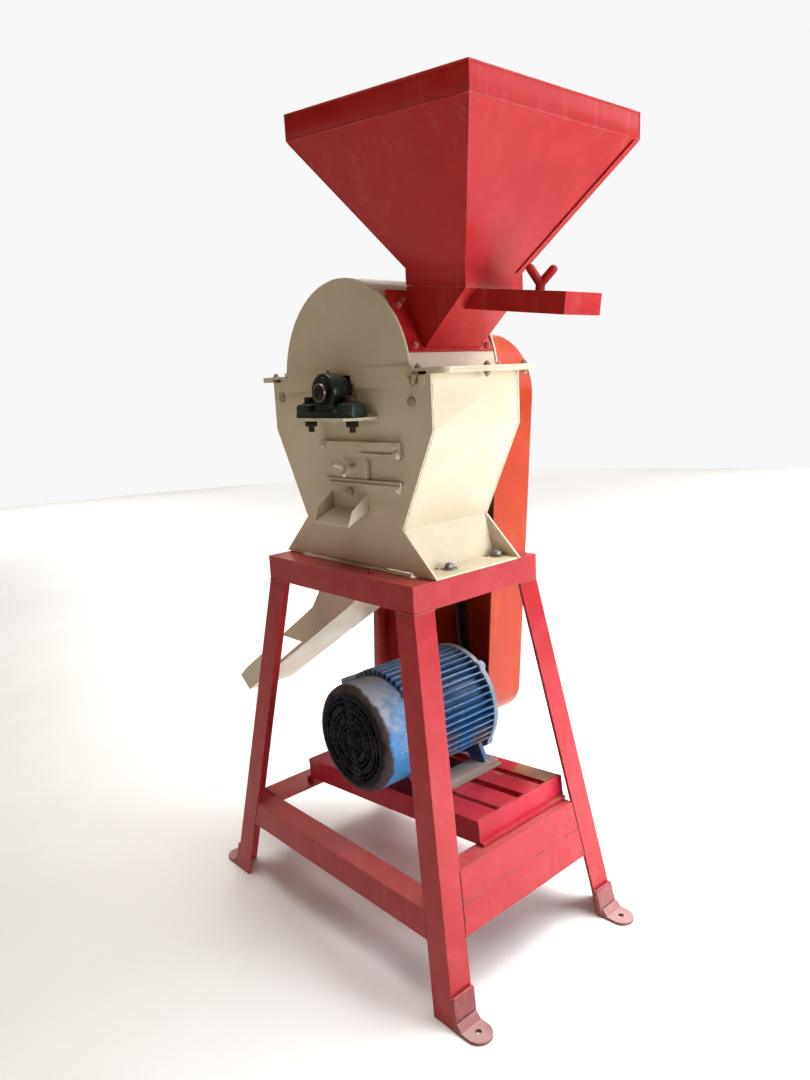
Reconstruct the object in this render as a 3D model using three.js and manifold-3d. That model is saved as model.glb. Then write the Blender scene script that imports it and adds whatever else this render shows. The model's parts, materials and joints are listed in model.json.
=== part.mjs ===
// Hammer mill on an angle-iron stand, driven by V-belts from a motor on a deck below it.
// Millimetres, +Z up. -Y is the side with the shaft end and the sample door, +X is the side of the
// feed gate. The origin is on the floor under the middle of the whole machine.

import * as THREE from 'three';
import { mergeVertices } from 'three/addons/utils/BufferGeometryUtils.js';
import Module from 'manifold-3d';

const wasm = await Module();
wasm.setup();

// ---- Driving dimensions -------------------------------------------------------------------------

const GAP = 0.3;                       // clearance between neighbours that touch
const DEG = Math.PI / 180;

const STAND = { height: 900, halfX: 269.5, halfY: 199.8, footX: 427, footY: 286.5, angle: 60, wall: 6 };
const LEG_TOP = STAND.height - STAND.angle - GAP;
const FOOT = { thick: 8, upright: 66, reach: 40, holeRadius: 7, bend: 14 };
const RAIL = { top: 220, drop: 62, leftFlange: 90, rightTop: 232, rightDrop: 70 };
const RISER = { top: 298.6, flange: 46 };

const DECK = { x: 13.5, z: 326.1, tilt: 5.36, halfLength: 321.9, front: -98, back: 197, height: 56, wall: 6 };
const SLATS = [[-98, -33], [-19, 43], [67, 126], [147, 197]];
const SLAT_THICK = 8;

const MOTOR = { x: 13, shaftHeight: 154, bore: 104, body: 126, fins: 147, front: -92, back: 158 };
const MOTOR_FOOT = { inner: 84, outer: 140, front: -88, back: 160, thick: 12 };
const COWL = { radius: 133, front: -187, rimRadius: 20, wall: 3 };
const PACKING = 6;

const CASE = { halfY: 136, plate: 5, sheet: 4, split: 1335, bottom: 908 };
const CASE_SIDE = [[282, 1329], [282, 1215], [175, 1000], [276, 903], [206, 903], [206, 908]];
const FLANGE = { outer: 332, thick: 6, front: -142, back: 150 };
const SHAFT_SLOT = 28;
const DOME = { radius: 223, z: 1322, inletAngle: 46 };
const INLET = { lowX: 213, lowZ: 1370 };

const SHAFT = { z: 1300, radius: 21, pulleyRadius: 19, front: -206, back: 305 };
const ROTOR = { discRadius: 98, discThick: 8, discs: [-100, 0, 100], pinCircle: 75, pinRadius: 8, spacer: 12 };
const HAMMER = { width: 40, thick: 8, tip: 88 };
const SCREEN = { radius: 172, thick: 3, endAngle: 20 };
const SHELF = { top: 1245, thick: 6, halfX: 115, frontDepth: 80, backDepth: 70, corner: 22 };
const BEARING = { frontY: -178, rearY: 168, halfX: 103, halfY: 27, foot: 18, ring: 43, ringHalf: 19 };
const COLLAR = { radius: 29, half: 22 };

const PULLEY = { y: 272, width: 42, spacing: 19, millRadius: 95, motorRadius: 65, groove: 14 };
const BELT = { width: 12, thick: 10 };
const GUARD = { front: 212, back: 342, wall: 3, topZ: 1275, topRadius: 151, lowZ: 492, lowRadius: 88 };

const RIM = { x: 257, z: 1838, halfX: 256, halfY: 246, band: 50, slope: -0.086 };
const NECK = { x: 254, z: 1536.5, half: 85, drop: 35, slope: -0.135 };
const SHEET = 3;
const GATE_BOX = { end: 302, height: 41, front: -52, back: 58, slotStart: 104, slotEnd: 290, slotHalf: 7 };
const GATE = { left: 6, length: 222, front: -47, back: 53, top: -15.5, thick: 4, boltAt: 198 };

const DOOR = { left: -75, right: 77, bottom: 1099.5, top: 1157.5, thick: 4, boltX: 22, boltZ: 1129 };
const SPOUT = { left: -68, right: 62, backZ: 1036, frontZ: 1006, reach: 60, cheek: 34 };
const CHUTE = { halfY: 80, mouthZ: 627, mouthX: -313, slope: 0.678, endX: -632, cheek: 62, cheekFrom: -520 };

// ---- Shape helpers ------------------------------------------------------------------------------

function outline(points) {
  return new THREE.Shape(points.map(([x, y]) => new THREE.Vector2(x, y)));
}

function arcPoints(cx, cy, radius, from, to, steps) {
  const points = [];
  for (let i = 0; i <= steps; i += 1) {
    const angle = (from + ((to - from) * i) / steps) * DEG;
    points.push([cx + radius * Math.cos(angle), cy + radius * Math.sin(angle)]);
  }
  return points;
}

function circleHole(cx, cy, radius, steps = 16) {
  const points = arcPoints(cx, cy, radius, 0, 360, steps).slice(0, -1);
  return new THREE.Path(points.map(([x, y]) => new THREE.Vector2(x, y)));
}

// Turns any closed geometry into one with shared vertices and faces outward.
function closed(geometry) {
  const bare = new THREE.BufferGeometry();
  bare.setAttribute('position', geometry.getAttribute('position').clone());
  bare.setIndex(geometry.getIndex());
  const merged = mergeVertices(bare, 1e-4);
  const place = merged.getAttribute('position');
  const index = merged.getIndex().array;
  const [a, b, c] = [new THREE.Vector3(), new THREE.Vector3(), new THREE.Vector3()];
  const corners = [];
  let volume = 0;
  for (let i = 0; i < index.length; i += 3) {
    const [p, q, r] = [index[i], index[i + 1], index[i + 2]];
    if (p === q || q === r || r === p) continue;
    a.fromBufferAttribute(place, p);
    b.fromBufferAttribute(place, q);
    c.fromBufferAttribute(place, r);
    volume += a.dot(b.cross(c));
    corners.push(p, q, r);
  }
  if (volume < 0) corners.reverse();
  merged.setIndex(corners);
  return merged;
}

function solidOf(geometry) {
  const shape = closed(geometry);
  return new wasm.Manifold(new wasm.Mesh({
    numProp: 3,
    vertProperties: new Float32Array(shape.getAttribute('position').array),
    triVerts: new Uint32Array(shape.getIndex().array),
  }));
}

function geometryOf(solid) {
  const mesh = solid.getMesh();
  const geometry = new THREE.BufferGeometry();
  geometry.setAttribute('position', new THREE.BufferAttribute(mesh.vertProperties, 3));
  geometry.setIndex(new THREE.BufferAttribute(mesh.triVerts, 1));
  geometry.computeVertexNormals();
  return geometry;
}

function join(...pieces) {
  return geometryOf(pieces.map(solidOf).reduce((sum, piece) => sum.add(piece)));
}

function cut(base, ...tools) {
  return geometryOf(tools.map(solidOf).reduce((rest, tool) => rest.subtract(tool), solidOf(base)));
}

function common(base, other) {
  return geometryOf(solidOf(base).intersect(solidOf(other)));
}

function box(x0, x1, y0, y1, z0, z1) {
  const geometry = new THREE.BoxGeometry(x1 - x0, y1 - y0, z1 - z0);
  return geometry.translate((x0 + x1) / 2, (y0 + y1) / 2, (z0 + z1) / 2);
}

function rodY(radius, y0, y1, x = 0, z = 0, steps = 24) {
  const geometry = new THREE.CylinderGeometry(radius, radius, y1 - y0, steps);
  return geometry.translate(x, (y0 + y1) / 2, z);
}

function rodZ(radius, z0, z1, x = 0, y = 0, steps = 24) {
  const geometry = new THREE.CylinderGeometry(radius, radius, z1 - z0, steps);
  return geometry.rotateX(Math.PI / 2).translate(x, y, (z0 + z1) / 2);
}

function extrudeZ(shape, z0, z1) {
  const geometry = new THREE.ExtrudeGeometry(shape, { depth: z1 - z0, bevelEnabled: false });
  return geometry.translate(0, 0, z0);
}

// A shape drawn in X and Z, given its thickness along Y.
function extrudeY(shape, y0, y1) {
  const geometry = new THREE.ExtrudeGeometry(shape, { depth: y1 - y0, bevelEnabled: false });
  return geometry.rotateX(Math.PI / 2).translate(0, y1, 0);
}

// A shape drawn in Y and Z, given its length along X.
function extrudeX(shape, x0, x1) {
  const geometry = new THREE.ExtrudeGeometry(shape, { depth: x1 - x0, bevelEnabled: false });
  const turn = new THREE.Matrix4().makeBasis(
    new THREE.Vector3(0, 1, 0),
    new THREE.Vector3(0, 0, 1),
    new THREE.Vector3(1, 0, 0),
  );
  return geometry.applyMatrix4(turn).translate(x0, 0, 0);
}

// A turned part on an axis along Y, from [radius, y] pairs.
function turned(profile, steps = 32) {
  return new THREE.LatheGeometry(profile.map(([r, y]) => new THREE.Vector2(r, y)), steps);
}

function reshape(geometry, move) {
  const place = geometry.getAttribute('position');
  const point = new THREE.Vector3();
  for (let i = 0; i < place.count; i += 1) {
    point.fromBufferAttribute(place, i);
    move(point);
    place.setXYZ(i, point.x, point.y, point.z);
  }
  return geometry;
}

// The outline of a folded sheet: an open path thickened by `thick` about its middle.
function foldedSheet(path, thick) {
  const sides = [[], []];
  const points = path.map(([x, y]) => new THREE.Vector2(x, y));
  points.forEach((point, i) => {
    const before = points[Math.max(i - 1, 0)];
    const after = points[Math.min(i + 1, points.length - 1)];
    const into = new THREE.Vector2().subVectors(i === 0 ? after : point, i === 0 ? point : before).normalize();
    const out = new THREE.Vector2().subVectors(after, point).normalize();
    const away = i === points.length - 1 ? into : out;
    const normal = new THREE.Vector2(-into.y - away.y, into.x + away.x).normalize();
    const reach = thick / 2 / normal.dot(new THREE.Vector2(-into.y, into.x));
    sides[0].push([point.x + normal.x * reach, point.y + normal.y * reach]);
    sides[1].push([point.x - normal.x * reach, point.y - normal.y * reach]);
  });
  return outline([...sides[0], ...sides[1].reverse()]);
}

function mirrorX(points) {
  return points.map(([x, y]) => [-x, y]);
}

// A solid skinned over a stack of four-cornered rings of [x, y, z].
function loft(rings) {
  const vertices = rings.flat(2);
  const faces = [];
  for (let ring = 0; ring + 1 < rings.length; ring += 1) {
    for (let side = 0; side < 4; side += 1) {
      const low = ring * 4 + side;
      const next = ring * 4 + ((side + 1) % 4);
      faces.push(low, next, next + 4, low, next + 4, low + 4);
    }
  }
  const last = (rings.length - 1) * 4;
  faces.push(0, 2, 1, 0, 3, 2, last, last + 1, last + 2, last, last + 2, last + 3);
  const geometry = new THREE.BufferGeometry();
  geometry.setAttribute('position', new THREE.Float32BufferAttribute(vertices, 3));
  geometry.setIndex(faces);
  return geometry;
}

// A ring with its X edges at two heights, symmetric about Y = 0.
function ring(x0, z0, x1, z1, halfY) {
  return [[x0, -halfY, z0], [x1, -halfY, z1], [x1, halfY, z1], [x0, halfY, z0]];
}

// The outline around two circles, one above the other.
function aroundCircles(x1, z1, r1, x2, z2, r2, steps) {
  const tilt = Math.asin((r1 - r2) / Math.hypot(x1 - x2, z1 - z2)) / DEG;
  const lean = Math.atan2(x2 - x1, z1 - z2) / DEG;
  const upper = arcPoints(x1, z1, r1, -tilt + lean, 180 + tilt + lean, steps);
  const lower = arcPoints(x2, z2, r2, 180 + tilt + lean, 360 - tilt + lean, steps);
  return [...upper, ...lower];
}

// ---- Materials and the group --------------------------------------------------------------------

function finish(color, roughness, metalness) {
  return new THREE.MeshStandardMaterial({ color, roughness, metalness });
}

const redPaint = finish(0xb8202c, 0.45, 0.1);
const wornPaint = finish(0xb97f83, 0.6, 0.1);
const orangePaint = finish(0xd6452a, 0.45, 0.1);
const creamPaint = finish(0xe6dcc6, 0.5, 0.1);
const bluePaint = finish(0x1c5c9c, 0.45, 0.2);
const blackPaint = finish(0x1f2b26, 0.5, 0.3);
const bareSteel = finish(0x8f8b86, 0.4, 0.9);
const rotorSteel = finish(0x6d6a66, 0.55, 0.8);
const greyPaint = finish(0x9a9088, 0.6, 0.2);
const castIron = finish(0x4c4d4e, 0.6, 0.6);
const beltRubber = finish(0x161616, 0.85, 0);

const mill = new THREE.Group();

function add(name, geometry, material, parent = mill) {
  const mesh = new THREE.Mesh(closed(geometry), material);
  mesh.geometry.computeVertexNormals();
  mesh.name = name;
  parent.add(mesh);
  return mesh;
}

// ---- Stand --------------------------------------------------------------------------------------

function legHalfX(z) {
  return STAND.footX + ((STAND.halfX - STAND.footX) * z) / LEG_TOP;
}

function legHalfY(z) {
  return STAND.footY + ((STAND.halfY - STAND.footY) * z) / LEG_TOP;
}

function topFrame() {
  const { height, halfX, halfY, angle, wall } = STAND;
  const block = box(-halfX, halfX, -halfY, halfY, height - angle, height);
  const below = height - angle - 1;
  const under = box(-halfX + wall, halfX - wall, -halfY + wall, halfY - wall, below, height - wall);
  const through = box(-halfX + angle, halfX - angle, -halfY + angle, halfY - angle, below, height + 1);
  return cut(block, under, through);
}

function leg(sx, sy) {
  const { angle, wall } = STAND;
  const corner = [[0, 0], [-angle, 0], [-angle, -wall], [-wall, -wall], [-wall, -angle], [0, -angle]];
  const section = outline(corner.map(([x, y]) => [x * sx, y * sy]));
  return reshape(extrudeZ(section, 0, LEG_TOP), (p) => {
    p.x += sx * legHalfX(p.z);
    p.y += sy * legHalfY(p.z);
  });
}

// A flat bar bent in an L: its upright lies on the leg and its tab on the floor.
function foot(sx, sy) {
  const { thick, upright, reach, holeRadius, bend } = FOOT;
  const width = STAND.angle;
  const bar = reshape(box(GAP, GAP + thick, -width, 0, 0, upright), (p) => {
    p.x += legHalfX(p.z);
    p.y += legHalfY(p.z);
  });
  const x0 = STAND.footX + GAP;
  const y0 = STAND.footY - width;
  const tabShape = outline([
    [x0, y0],
    ...arcPoints(STAND.footX + reach, y0 + width / 2, width / 2, -90, 90, 12),
    [x0, STAND.footY],
  ]);
  tabShape.holes.push(circleHole(STAND.footX + reach, y0 + width / 2, holeRadius));
  const tab = extrudeZ(tabShape, 0, thick);
  const inner = x0 + thick - 1;
  const wedge = outline([[inner, thick - 1], [inner + bend, thick - 1], [inner, thick + bend]]);
  return join(bar, tab, extrudeY(wedge, y0 + 1, STAND.footY - 1)).scale(sx, sy, 1);
}

function railSection(top, drop, flange) {
  const { wall } = STAND;
  return outline([
    [0, top - drop], [wall, top - drop], [wall, top - wall], [flange, top - wall], [flange, top], [0, top],
  ]);
}

// Rails lie flush with the legs' faces and their ends follow the legs' edges.
function railAlongX(side, top, drop) {
  const rail = extrudeX(railSection(top, drop, STAND.angle), -1, 1);
  return reshape(rail, (p) => {
    p.x *= legHalfX(p.z) - STAND.angle - GAP;
    p.y = side * (legHalfY(p.z) - p.y);
  });
}

function railAlongY(side, top, drop, flange) {
  const rail = extrudeX(railSection(top, drop, flange), -1, 1);
  return reshape(rail, (p) => {
    const inward = p.y;
    p.y = p.x * (legHalfY(p.z) - STAND.angle - GAP);
    p.x = side * (legHalfX(p.z) - inward);
  });
}

function buildStand() {
  add('top_frame', topFrame(), redPaint);
  const corners = [['front_left', -1, -1], ['front_right', 1, -1], ['rear_left', -1, 1], ['rear_right', 1, 1]];
  for (const [place, sx, sy] of corners) {
    add(`leg_${place}`, leg(sx, sy), redPaint);
    add(`foot_${place}`, foot(sx, sy), wornPaint);
  }
  add('rail_front', railAlongX(-1, RAIL.top, RAIL.drop), redPaint);
  add('rail_rear', railAlongX(1, RAIL.top, RAIL.drop), redPaint);
  add('rail_left', railAlongY(-1, RAIL.top, RAIL.drop, RAIL.leftFlange), redPaint);
  add('rail_right', railAlongY(1, RAIL.rightTop - GAP, RAIL.rightDrop, STAND.angle), redPaint);
  add('rail_right_riser', railAlongY(1, RISER.top, RISER.top - RAIL.rightTop, RISER.flange), redPaint);
}

// ---- Motor deck ---------------------------------------------------------------------------------

const deck = new THREE.Group();
deck.position.set(DECK.x, 0, DECK.z);
deck.rotation.y = -DECK.tilt * DEG;
mill.add(deck);

function deckFrame() {
  const { halfLength, front, back, height, wall } = DECK;
  const lip = 10;
  const outer = box(-halfLength, halfLength, front, back, -height, 0);
  const inner = box(-halfLength + wall, halfLength - wall, front + wall, back - wall, -height - 1, 1);
  const slats = SLATS.map(([y0, y1]) => box(-halfLength, halfLength, y0, y1, -SLAT_THICK, 0));
  const skirts = [SLATS[1], SLATS[2]].flatMap(([y0, y1]) => [
    box(-halfLength + 1, halfLength - 1, y0, y0 + 5, -30, -1),
    box(-halfLength + 1, halfLength - 1, y1 - 5, y1, -30, -1),
  ]);
  const lips = [-1, 1].map((side) => {
    const edge = side * halfLength;
    return box(Math.min(edge - side, edge + side * lip), Math.max(edge - side, edge + side * lip),
      front, back, -height, -height + wall);
  });
  return join(cut(outer, inner), ...slats, ...skirts, ...lips);
}

function deckSpacer() {
  return box(-326, -295, DECK.front, DECK.back, RAIL.top + GAP, RAIL.top + 18.8);
}

// ---- Motor --------------------------------------------------------------------------------------

const motor = new THREE.Group();
motor.position.set(MOTOR.x, 0, MOTOR.shaftHeight);
deck.add(motor);

function finnedOutline() {
  const { body, fins } = MOTOR;
  const pitch = 7.2;
  const points = [];
  for (let angle = -40; angle < 219; angle += pitch) {
    const rib = [[body, 0], [body, 4.2], [fins, 5.1], [fins, 6.4]];
    for (const [radius, turn] of rib) {
      const at = (angle + turn) * DEG;
      points.push([radius * Math.cos(at), radius * Math.sin(at)]);
    }
  }
  return outline([...points, ...arcPoints(0, 0, body, 221, 319, 10)]);
}

function motorHousing() {
  const shape = finnedOutline();
  shape.holes.push(circleHole(0, 0, MOTOR.bore, 32));
  const barrel = extrudeY(shape, MOTOR.front, MOTOR.back);
  const sole = -MOTOR.shaftHeight + PACKING + GAP;
  const { inner, outer, front, back, thick } = MOTOR_FOOT;
  const pieces = [barrel, box(-MOTOR.fins - 1, -MOTOR.body + 6, -36, 36, 4, 70)];
  for (const side of [-1, 1]) {
    const [x0, x1] = side > 0 ? [inner, outer] : [-outer, -inner];
    pieces.push(box(x0, x1, front, back, sole, sole + thick));
    for (const y of [front + 6, back - 40]) {
      const web = outline([[side * 60, -104], [side * 108, -70], [side * (outer - 4), sole + thick - 2],
        [side * (inner + 2), sole + thick - 2]]);
      pieces.push(extrudeY(web, y, y + 12));
    }
  }
  return join(...pieces);
}

function motorDriveShield() {
  const { back } = MOTOR;
  const y = back + GAP;
  const disc = turned([
    [22, y], [148, y], [148, y + 14], [138, y + 22], [70, y + 30], [48, y + 38], [22, y + 38], [22, y],
  ], 32);
  const lugs = [45, 135, 225, 315].map((angle) => {
    const at = [138 * Math.cos(angle * DEG), 138 * Math.sin(angle * DEG)];
    return rodY(15, y, y + 20, at[0], at[1], 12);
  });
  return join(disc, ...lugs);
}

function motorFanShield() {
  const y = MOTOR.front - GAP;
  return turned([[22, y], [120, y], [120, y - 10], [60, y - 16], [22, y - 16], [22, y]], 24);
}

function fanCowl() {
  const { radius, front, rimRadius, wall } = COWL;
  const open = MOTOR.front - GAP;
  const rim = (size) => arcPoints(radius - rimRadius, front + rimRadius, size, 0, -90, 3);
  const skin = turned([
    [0, front], ...rim(rimRadius).reverse(), [radius, open], [radius - wall, open],
    ...rim(rimRadius - wall), [0, front + wall],
  ], 32);
  const slots = [];
  for (const [r0, r1] of [[26, 42], [56, 72], [86, 102]]) {
    for (let quarter = 0; quarter < 4; quarter += 1) {
      const from = quarter * 90 + 7 + 150 / r1;
      const to = quarter * 90 + 83 - 150 / r1;
      const arcs = [...arcPoints(0, 0, r1, from, to, 5), ...arcPoints(0, 0, r0, to, from, 5)];
      slots.push(extrudeY(outline(arcs), front - 1, front + wall + 1));
    }
  }
  return cut(skin, ...slots);
}

function motorFan() {
  const hub = turned([
    [15.5, -172], [28, -172], [28, -132], [100, -132], [100, -128], [15.5, -128], [15.5, -172],
  ], 24);
  const blades = [];
  for (let angle = 0; angle < 360; angle += 45) {
    blades.push(box(26, 98, -2, 2, -172, -130).applyMatrix4(fanTurn(angle)));
  }
  return join(hub, ...blades);
}

// Blades are drawn with the fan's axis along Z and then laid along Y.
function fanTurn(angle) {
  const spin = new THREE.Matrix4().makeRotationZ(angle * DEG);
  const lay = new THREE.Matrix4().makeBasis(
    new THREE.Vector3(1, 0, 0),
    new THREE.Vector3(0, 0, -1),
    new THREE.Vector3(0, 1, 0),
  );
  return lay.multiply(spin);
}

function motorRotor() {
  return turned([
    [0, -176], [15, -176], [15, -112], [20, -112], [20, -74], [96, -74], [96, 124], [21, 124],
    [21, 296], [18, 299], [0, 299],
  ], 24);
}

function terminalBox() {
  const shell = box(-206, -MOTOR.fins - 1 - GAP, -50, 50, -8, 82);
  const gland = rodZ(11, -30, -7, -178, 0, 12);
  return join(shell, gland);
}

function buildDeck() {
  add('deck_spacer_left', deckSpacer(), redPaint);
  add('motor_deck', deckFrame(), redPaint, deck);
}

function buildMotor() {
  const under = [-MOTOR.shaftHeight + GAP, -MOTOR.shaftHeight + PACKING];
  const { inner, outer, front, back } = MOTOR_FOOT;
  add('motor_packing_left', box(-outer - 8, -inner, front - 4, back + 6, ...under), greyPaint, motor);
  add('motor_packing_right', box(inner, outer + 8, front - 4, back + 6, ...under), greyPaint, motor);
  add('motor_housing', motorHousing(), bluePaint, motor);
  add('motor_drive_shield', motorDriveShield(), bluePaint, motor);
  add('motor_fan_shield', motorFanShield(), bluePaint, motor);
  add('motor_fan_cowl', fanCowl(), bluePaint, motor);
  add('motor_fan', motorFan(), blackPaint, motor);
  add('motor_rotor', motorRotor(), bareSteel, motor);
  add('motor_terminal_box', terminalBox(), bluePaint, motor);
  add('motor_pulley', pulley(PULLEY.motorRadius, 21 + GAP), castIron, motor);
}

// ---- Mill casing --------------------------------------------------------------------------------

function endPlates(shape) {
  const { halfY, plate } = CASE;
  return [extrudeY(shape, -halfY, -halfY + plate), extrudeY(shape, halfY - plate, halfY)];
}

function flangeStrip(side, from, z0) {
  const { outer, front, back, thick } = FLANGE;
  const round = 20;
  const shape = outline([
    [from, front], ...arcPoints(outer - round, front + round, round, -90, 0, 5),
    ...arcPoints(outer - round, back - round, round, 0, 90, 5), [from, back],
  ].map(([x, y]) => [side * x, y]));
  return extrudeZ(shape, z0, z0 + thick);
}

function bearingShelf(side) {
  const { top, thick, halfX, frontDepth, backDepth, corner } = SHELF;
  const near = CASE.halfY - 1;
  const far = CASE.halfY + (side < 0 ? frontDepth : backDepth);
  const shape = outline([
    [-halfX, near], [halfX, near], [halfX, far - corner], [halfX - corner, far], [corner - halfX, far],
    [-halfX, far - corner],
  ].map(([x, y]) => [x, side * y]));
  return extrudeZ(shape, top - thick, top);
}

// Guides hold the sample door against the plate, with a lip over its edge.
function doorGuide(z0, z1, lipZ0, lipZ1, x0, x1) {
  const face = -CASE.halfY + 1;
  const lipBack = -CASE.halfY - DOOR.thick - 2 * GAP;
  const spacer = box(x0, x1, lipBack - 4, face, z0, z1);
  const lip = box(x0, x1, lipBack - 4, lipBack, lipZ0, lipZ1);
  return join(spacer, lip);
}

function lowerCasing() {
  const { halfY, plate, sheet, split, bottom } = CASE;
  const top = split - FLANGE.thick;
  const [front, back] = endPlates(outline([...CASE_SIDE, ...mirrorX(CASE_SIDE).reverse()]));
  const half = sheet / 2;
  const low = STAND.height + GAP + half;
  const wallPath = [[282 - half, top + 1], [282 - half, 1215], [175 - half, 1000], [200, low], [270, low]];
  const inside = halfY - plate + 0.5;
  const wall = extrudeY(foldedSheet(wallPath, sheet), -inside, inside);
  const farWall = extrudeY(foldedSheet(mirrorX(wallPath), sheet), -inside, inside);
  const slide = extrudeY(foldedSheet([[100, bottom], [176, 962]], sheet), -inside, inside);
  const screenRails = [-inside, inside - 10].map((y) => {
    const { radius, thick, endAngle } = SCREEN;
    const seat = radius + thick + GAP;
    const arcs = [...arcPoints(0, SHAFT.z, seat + 10, 180 + endAngle, 360 - endAngle, 24),
      ...arcPoints(0, SHAFT.z, seat, 360 - endAngle, 180 + endAngle, 24)];
    return extrudeY(outline(arcs), y, y + 10);
  });
  const bands = [-1, 1].map((side) => {
    const [y0, y1] = side < 0 ? [-halfY - 3, -halfY + 1] : [halfY - 1, halfY + 3];
    return box(-246, 246, y0, y1, split - 20, split);
  });
  const shell = join(front, back, wall, farWall, slide, ...screenRails, ...bands,
    flangeStrip(1, 276, top), flangeStrip(-1, 276, top), bearingShelf(-1), bearingShelf(1),
    doorGuide(DOOR.top + 1, 1188, DOOR.top - 5, 1188, -82, 184),
    doorGuide(1090, DOOR.bottom - 1, 1090, DOOR.bottom + 5, -82, 184));
  const doorWay = box(-55, 55, -halfY - 1, -halfY + plate + 1, 1108, 1148);
  const shaftWay = join(rodY(SHAFT_SLOT, -halfY - 9, halfY + 9, 0, SHAFT.z),
    box(-SHAFT_SLOT, SHAFT_SLOT, -halfY - 9, halfY + 9, SHAFT.z, split + 5));
  return cut(shell, doorWay, shaftWay);
}

// The inlet lies on a flat chord between the ends of the rounded wrapper and a short upright band.
function inletFrame() {
  const radius = DOME.radius - CASE.sheet / 2;
  const start = new THREE.Vector2(
    radius * Math.cos(DOME.inletAngle * DEG),
    DOME.z + radius * Math.sin(DOME.inletAngle * DEG),
  );
  const end = new THREE.Vector2(INLET.lowX, INLET.lowZ);
  const along = new THREE.Vector2().subVectors(end, start).normalize();
  const outward = new THREE.Vector2(-along.y, along.x);
  return { start, along, outward, length: start.distanceTo(end) };
}

// A point on the inlet's plane: distance along it, then distance out of it.
function inletPoint(distance, out) {
  const { start, along, outward } = inletFrame();
  return [start.x + along.x * distance + outward.x * out, start.y + along.y * distance + outward.y * out];
}

function inletSlab(from, to, low, high, halfY) {
  const corners = [inletPoint(from, low), inletPoint(to, low), inletPoint(to, high), inletPoint(from, high)];
  return extrudeY(outline(corners), -halfY, halfY);
}

function upperCasing() {
  const { halfY, plate, sheet, split } = CASE;
  const low = split + GAP;
  const rise = Math.asin((low - DOME.z) / DOME.radius) / DEG;
  const [front, back] = endPlates(outline(arcPoints(0, DOME.z, DOME.radius, rise, 180 - rise, 28)));
  const radius = DOME.radius - sheet / 2;
  const wrapPath = [
    ...arcPoints(0, DOME.z, radius, 180 - rise, DOME.inletAngle, 21),
    [INLET.lowX, INLET.lowZ],
    [radius - 1, low + 1],
  ];
  const inside = halfY - plate + 0.5;
  const wrap = extrudeY(foldedSheet(wrapPath, sheet), -inside, inside);
  const bands = [-1, 1].map((side) => {
    const [y0, y1] = side < 0 ? [-halfY - 3, -halfY + 1] : [halfY - 1, halfY + 3];
    return box(-226, 226, y0, y1, low, low + 14);
  });
  const shell = join(front, back, wrap, ...bands, flangeStrip(1, 218, low), flangeStrip(-1, 218, low));
  return cut(shell, inletSlab(12, 112, -8, 8, NECK.half - SHEET));
}

function screenSheet() {
  const { radius, thick, endAngle } = SCREEN;
  const inside = CASE.halfY - CASE.plate - 1;
  const arcs = [...arcPoints(0, SHAFT.z, radius + thick, 180 + endAngle, 360 - endAngle, 24),
    ...arcPoints(0, SHAFT.z, radius, 360 - endAngle, 180 + endAngle, 24)];
  return extrudeY(outline(arcs), -inside, inside);
}

function sampleDoor() {
  const { left, right, bottom, top, thick } = DOOR;
  const back = -CASE.halfY - GAP;
  const plate = box(left, right, back - thick, back, bottom, top);
  const pull = box(right - 6, right, back - thick - 9, back - thick + 1, bottom + 8, top - 8);
  const nut = rodY(11, back - thick - 7, back - thick + 1, DOOR.boltX, DOOR.boltZ, 6);
  return cut(join(plate, pull, nut), rodY(5.6, back - 40, back + 40, DOOR.boltX, DOOR.boltZ, 16));
}

// A stud with a hub and two rods in a V, along +Z with its seat at z = 0.
function wingBolt(reach, arm, spread, girth) {
  const stud = rodZ(5, -reach, 14, 0, 0, 16);
  const hub = rodZ(9, GAP, 17, 0, 0, 16);
  const arms = [-1, 1].map((side) => {
    const capsule = new THREE.CapsuleGeometry(girth, arm, 4, 10);
    capsule.rotateX(Math.PI / 2).translate(0, 0, arm / 2 + 2);
    return capsule.rotateY(side * spread * DEG).translate(0, 0, 12);
  });
  return join(stud, hub, ...arms);
}

function sampleSpout() {
  const { left, right, backZ, frontZ, reach, cheek } = SPOUT;
  const back = -CASE.halfY - GAP;
  const front = back - reach;
  const floor = outline([[back, backZ], [front, frontZ], [front, frontZ - SHEET], [back, backZ - SHEET]]);
  const side = outline([
    [back, backZ - SHEET], [front, frontZ - SHEET], [front + 13, frontZ + cheek - 3],
    [back, backZ + cheek + 2],
  ]);
  const cheeks = [extrudeX(side, left, left + SHEET), extrudeX(side, right - SHEET, right)];
  return join(extrudeX(floor, left, right), ...cheeks);
}

function chuteFloor(x) {
  return CHUTE.mouthZ + CHUTE.slope * (x - CHUTE.mouthX);
}

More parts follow.
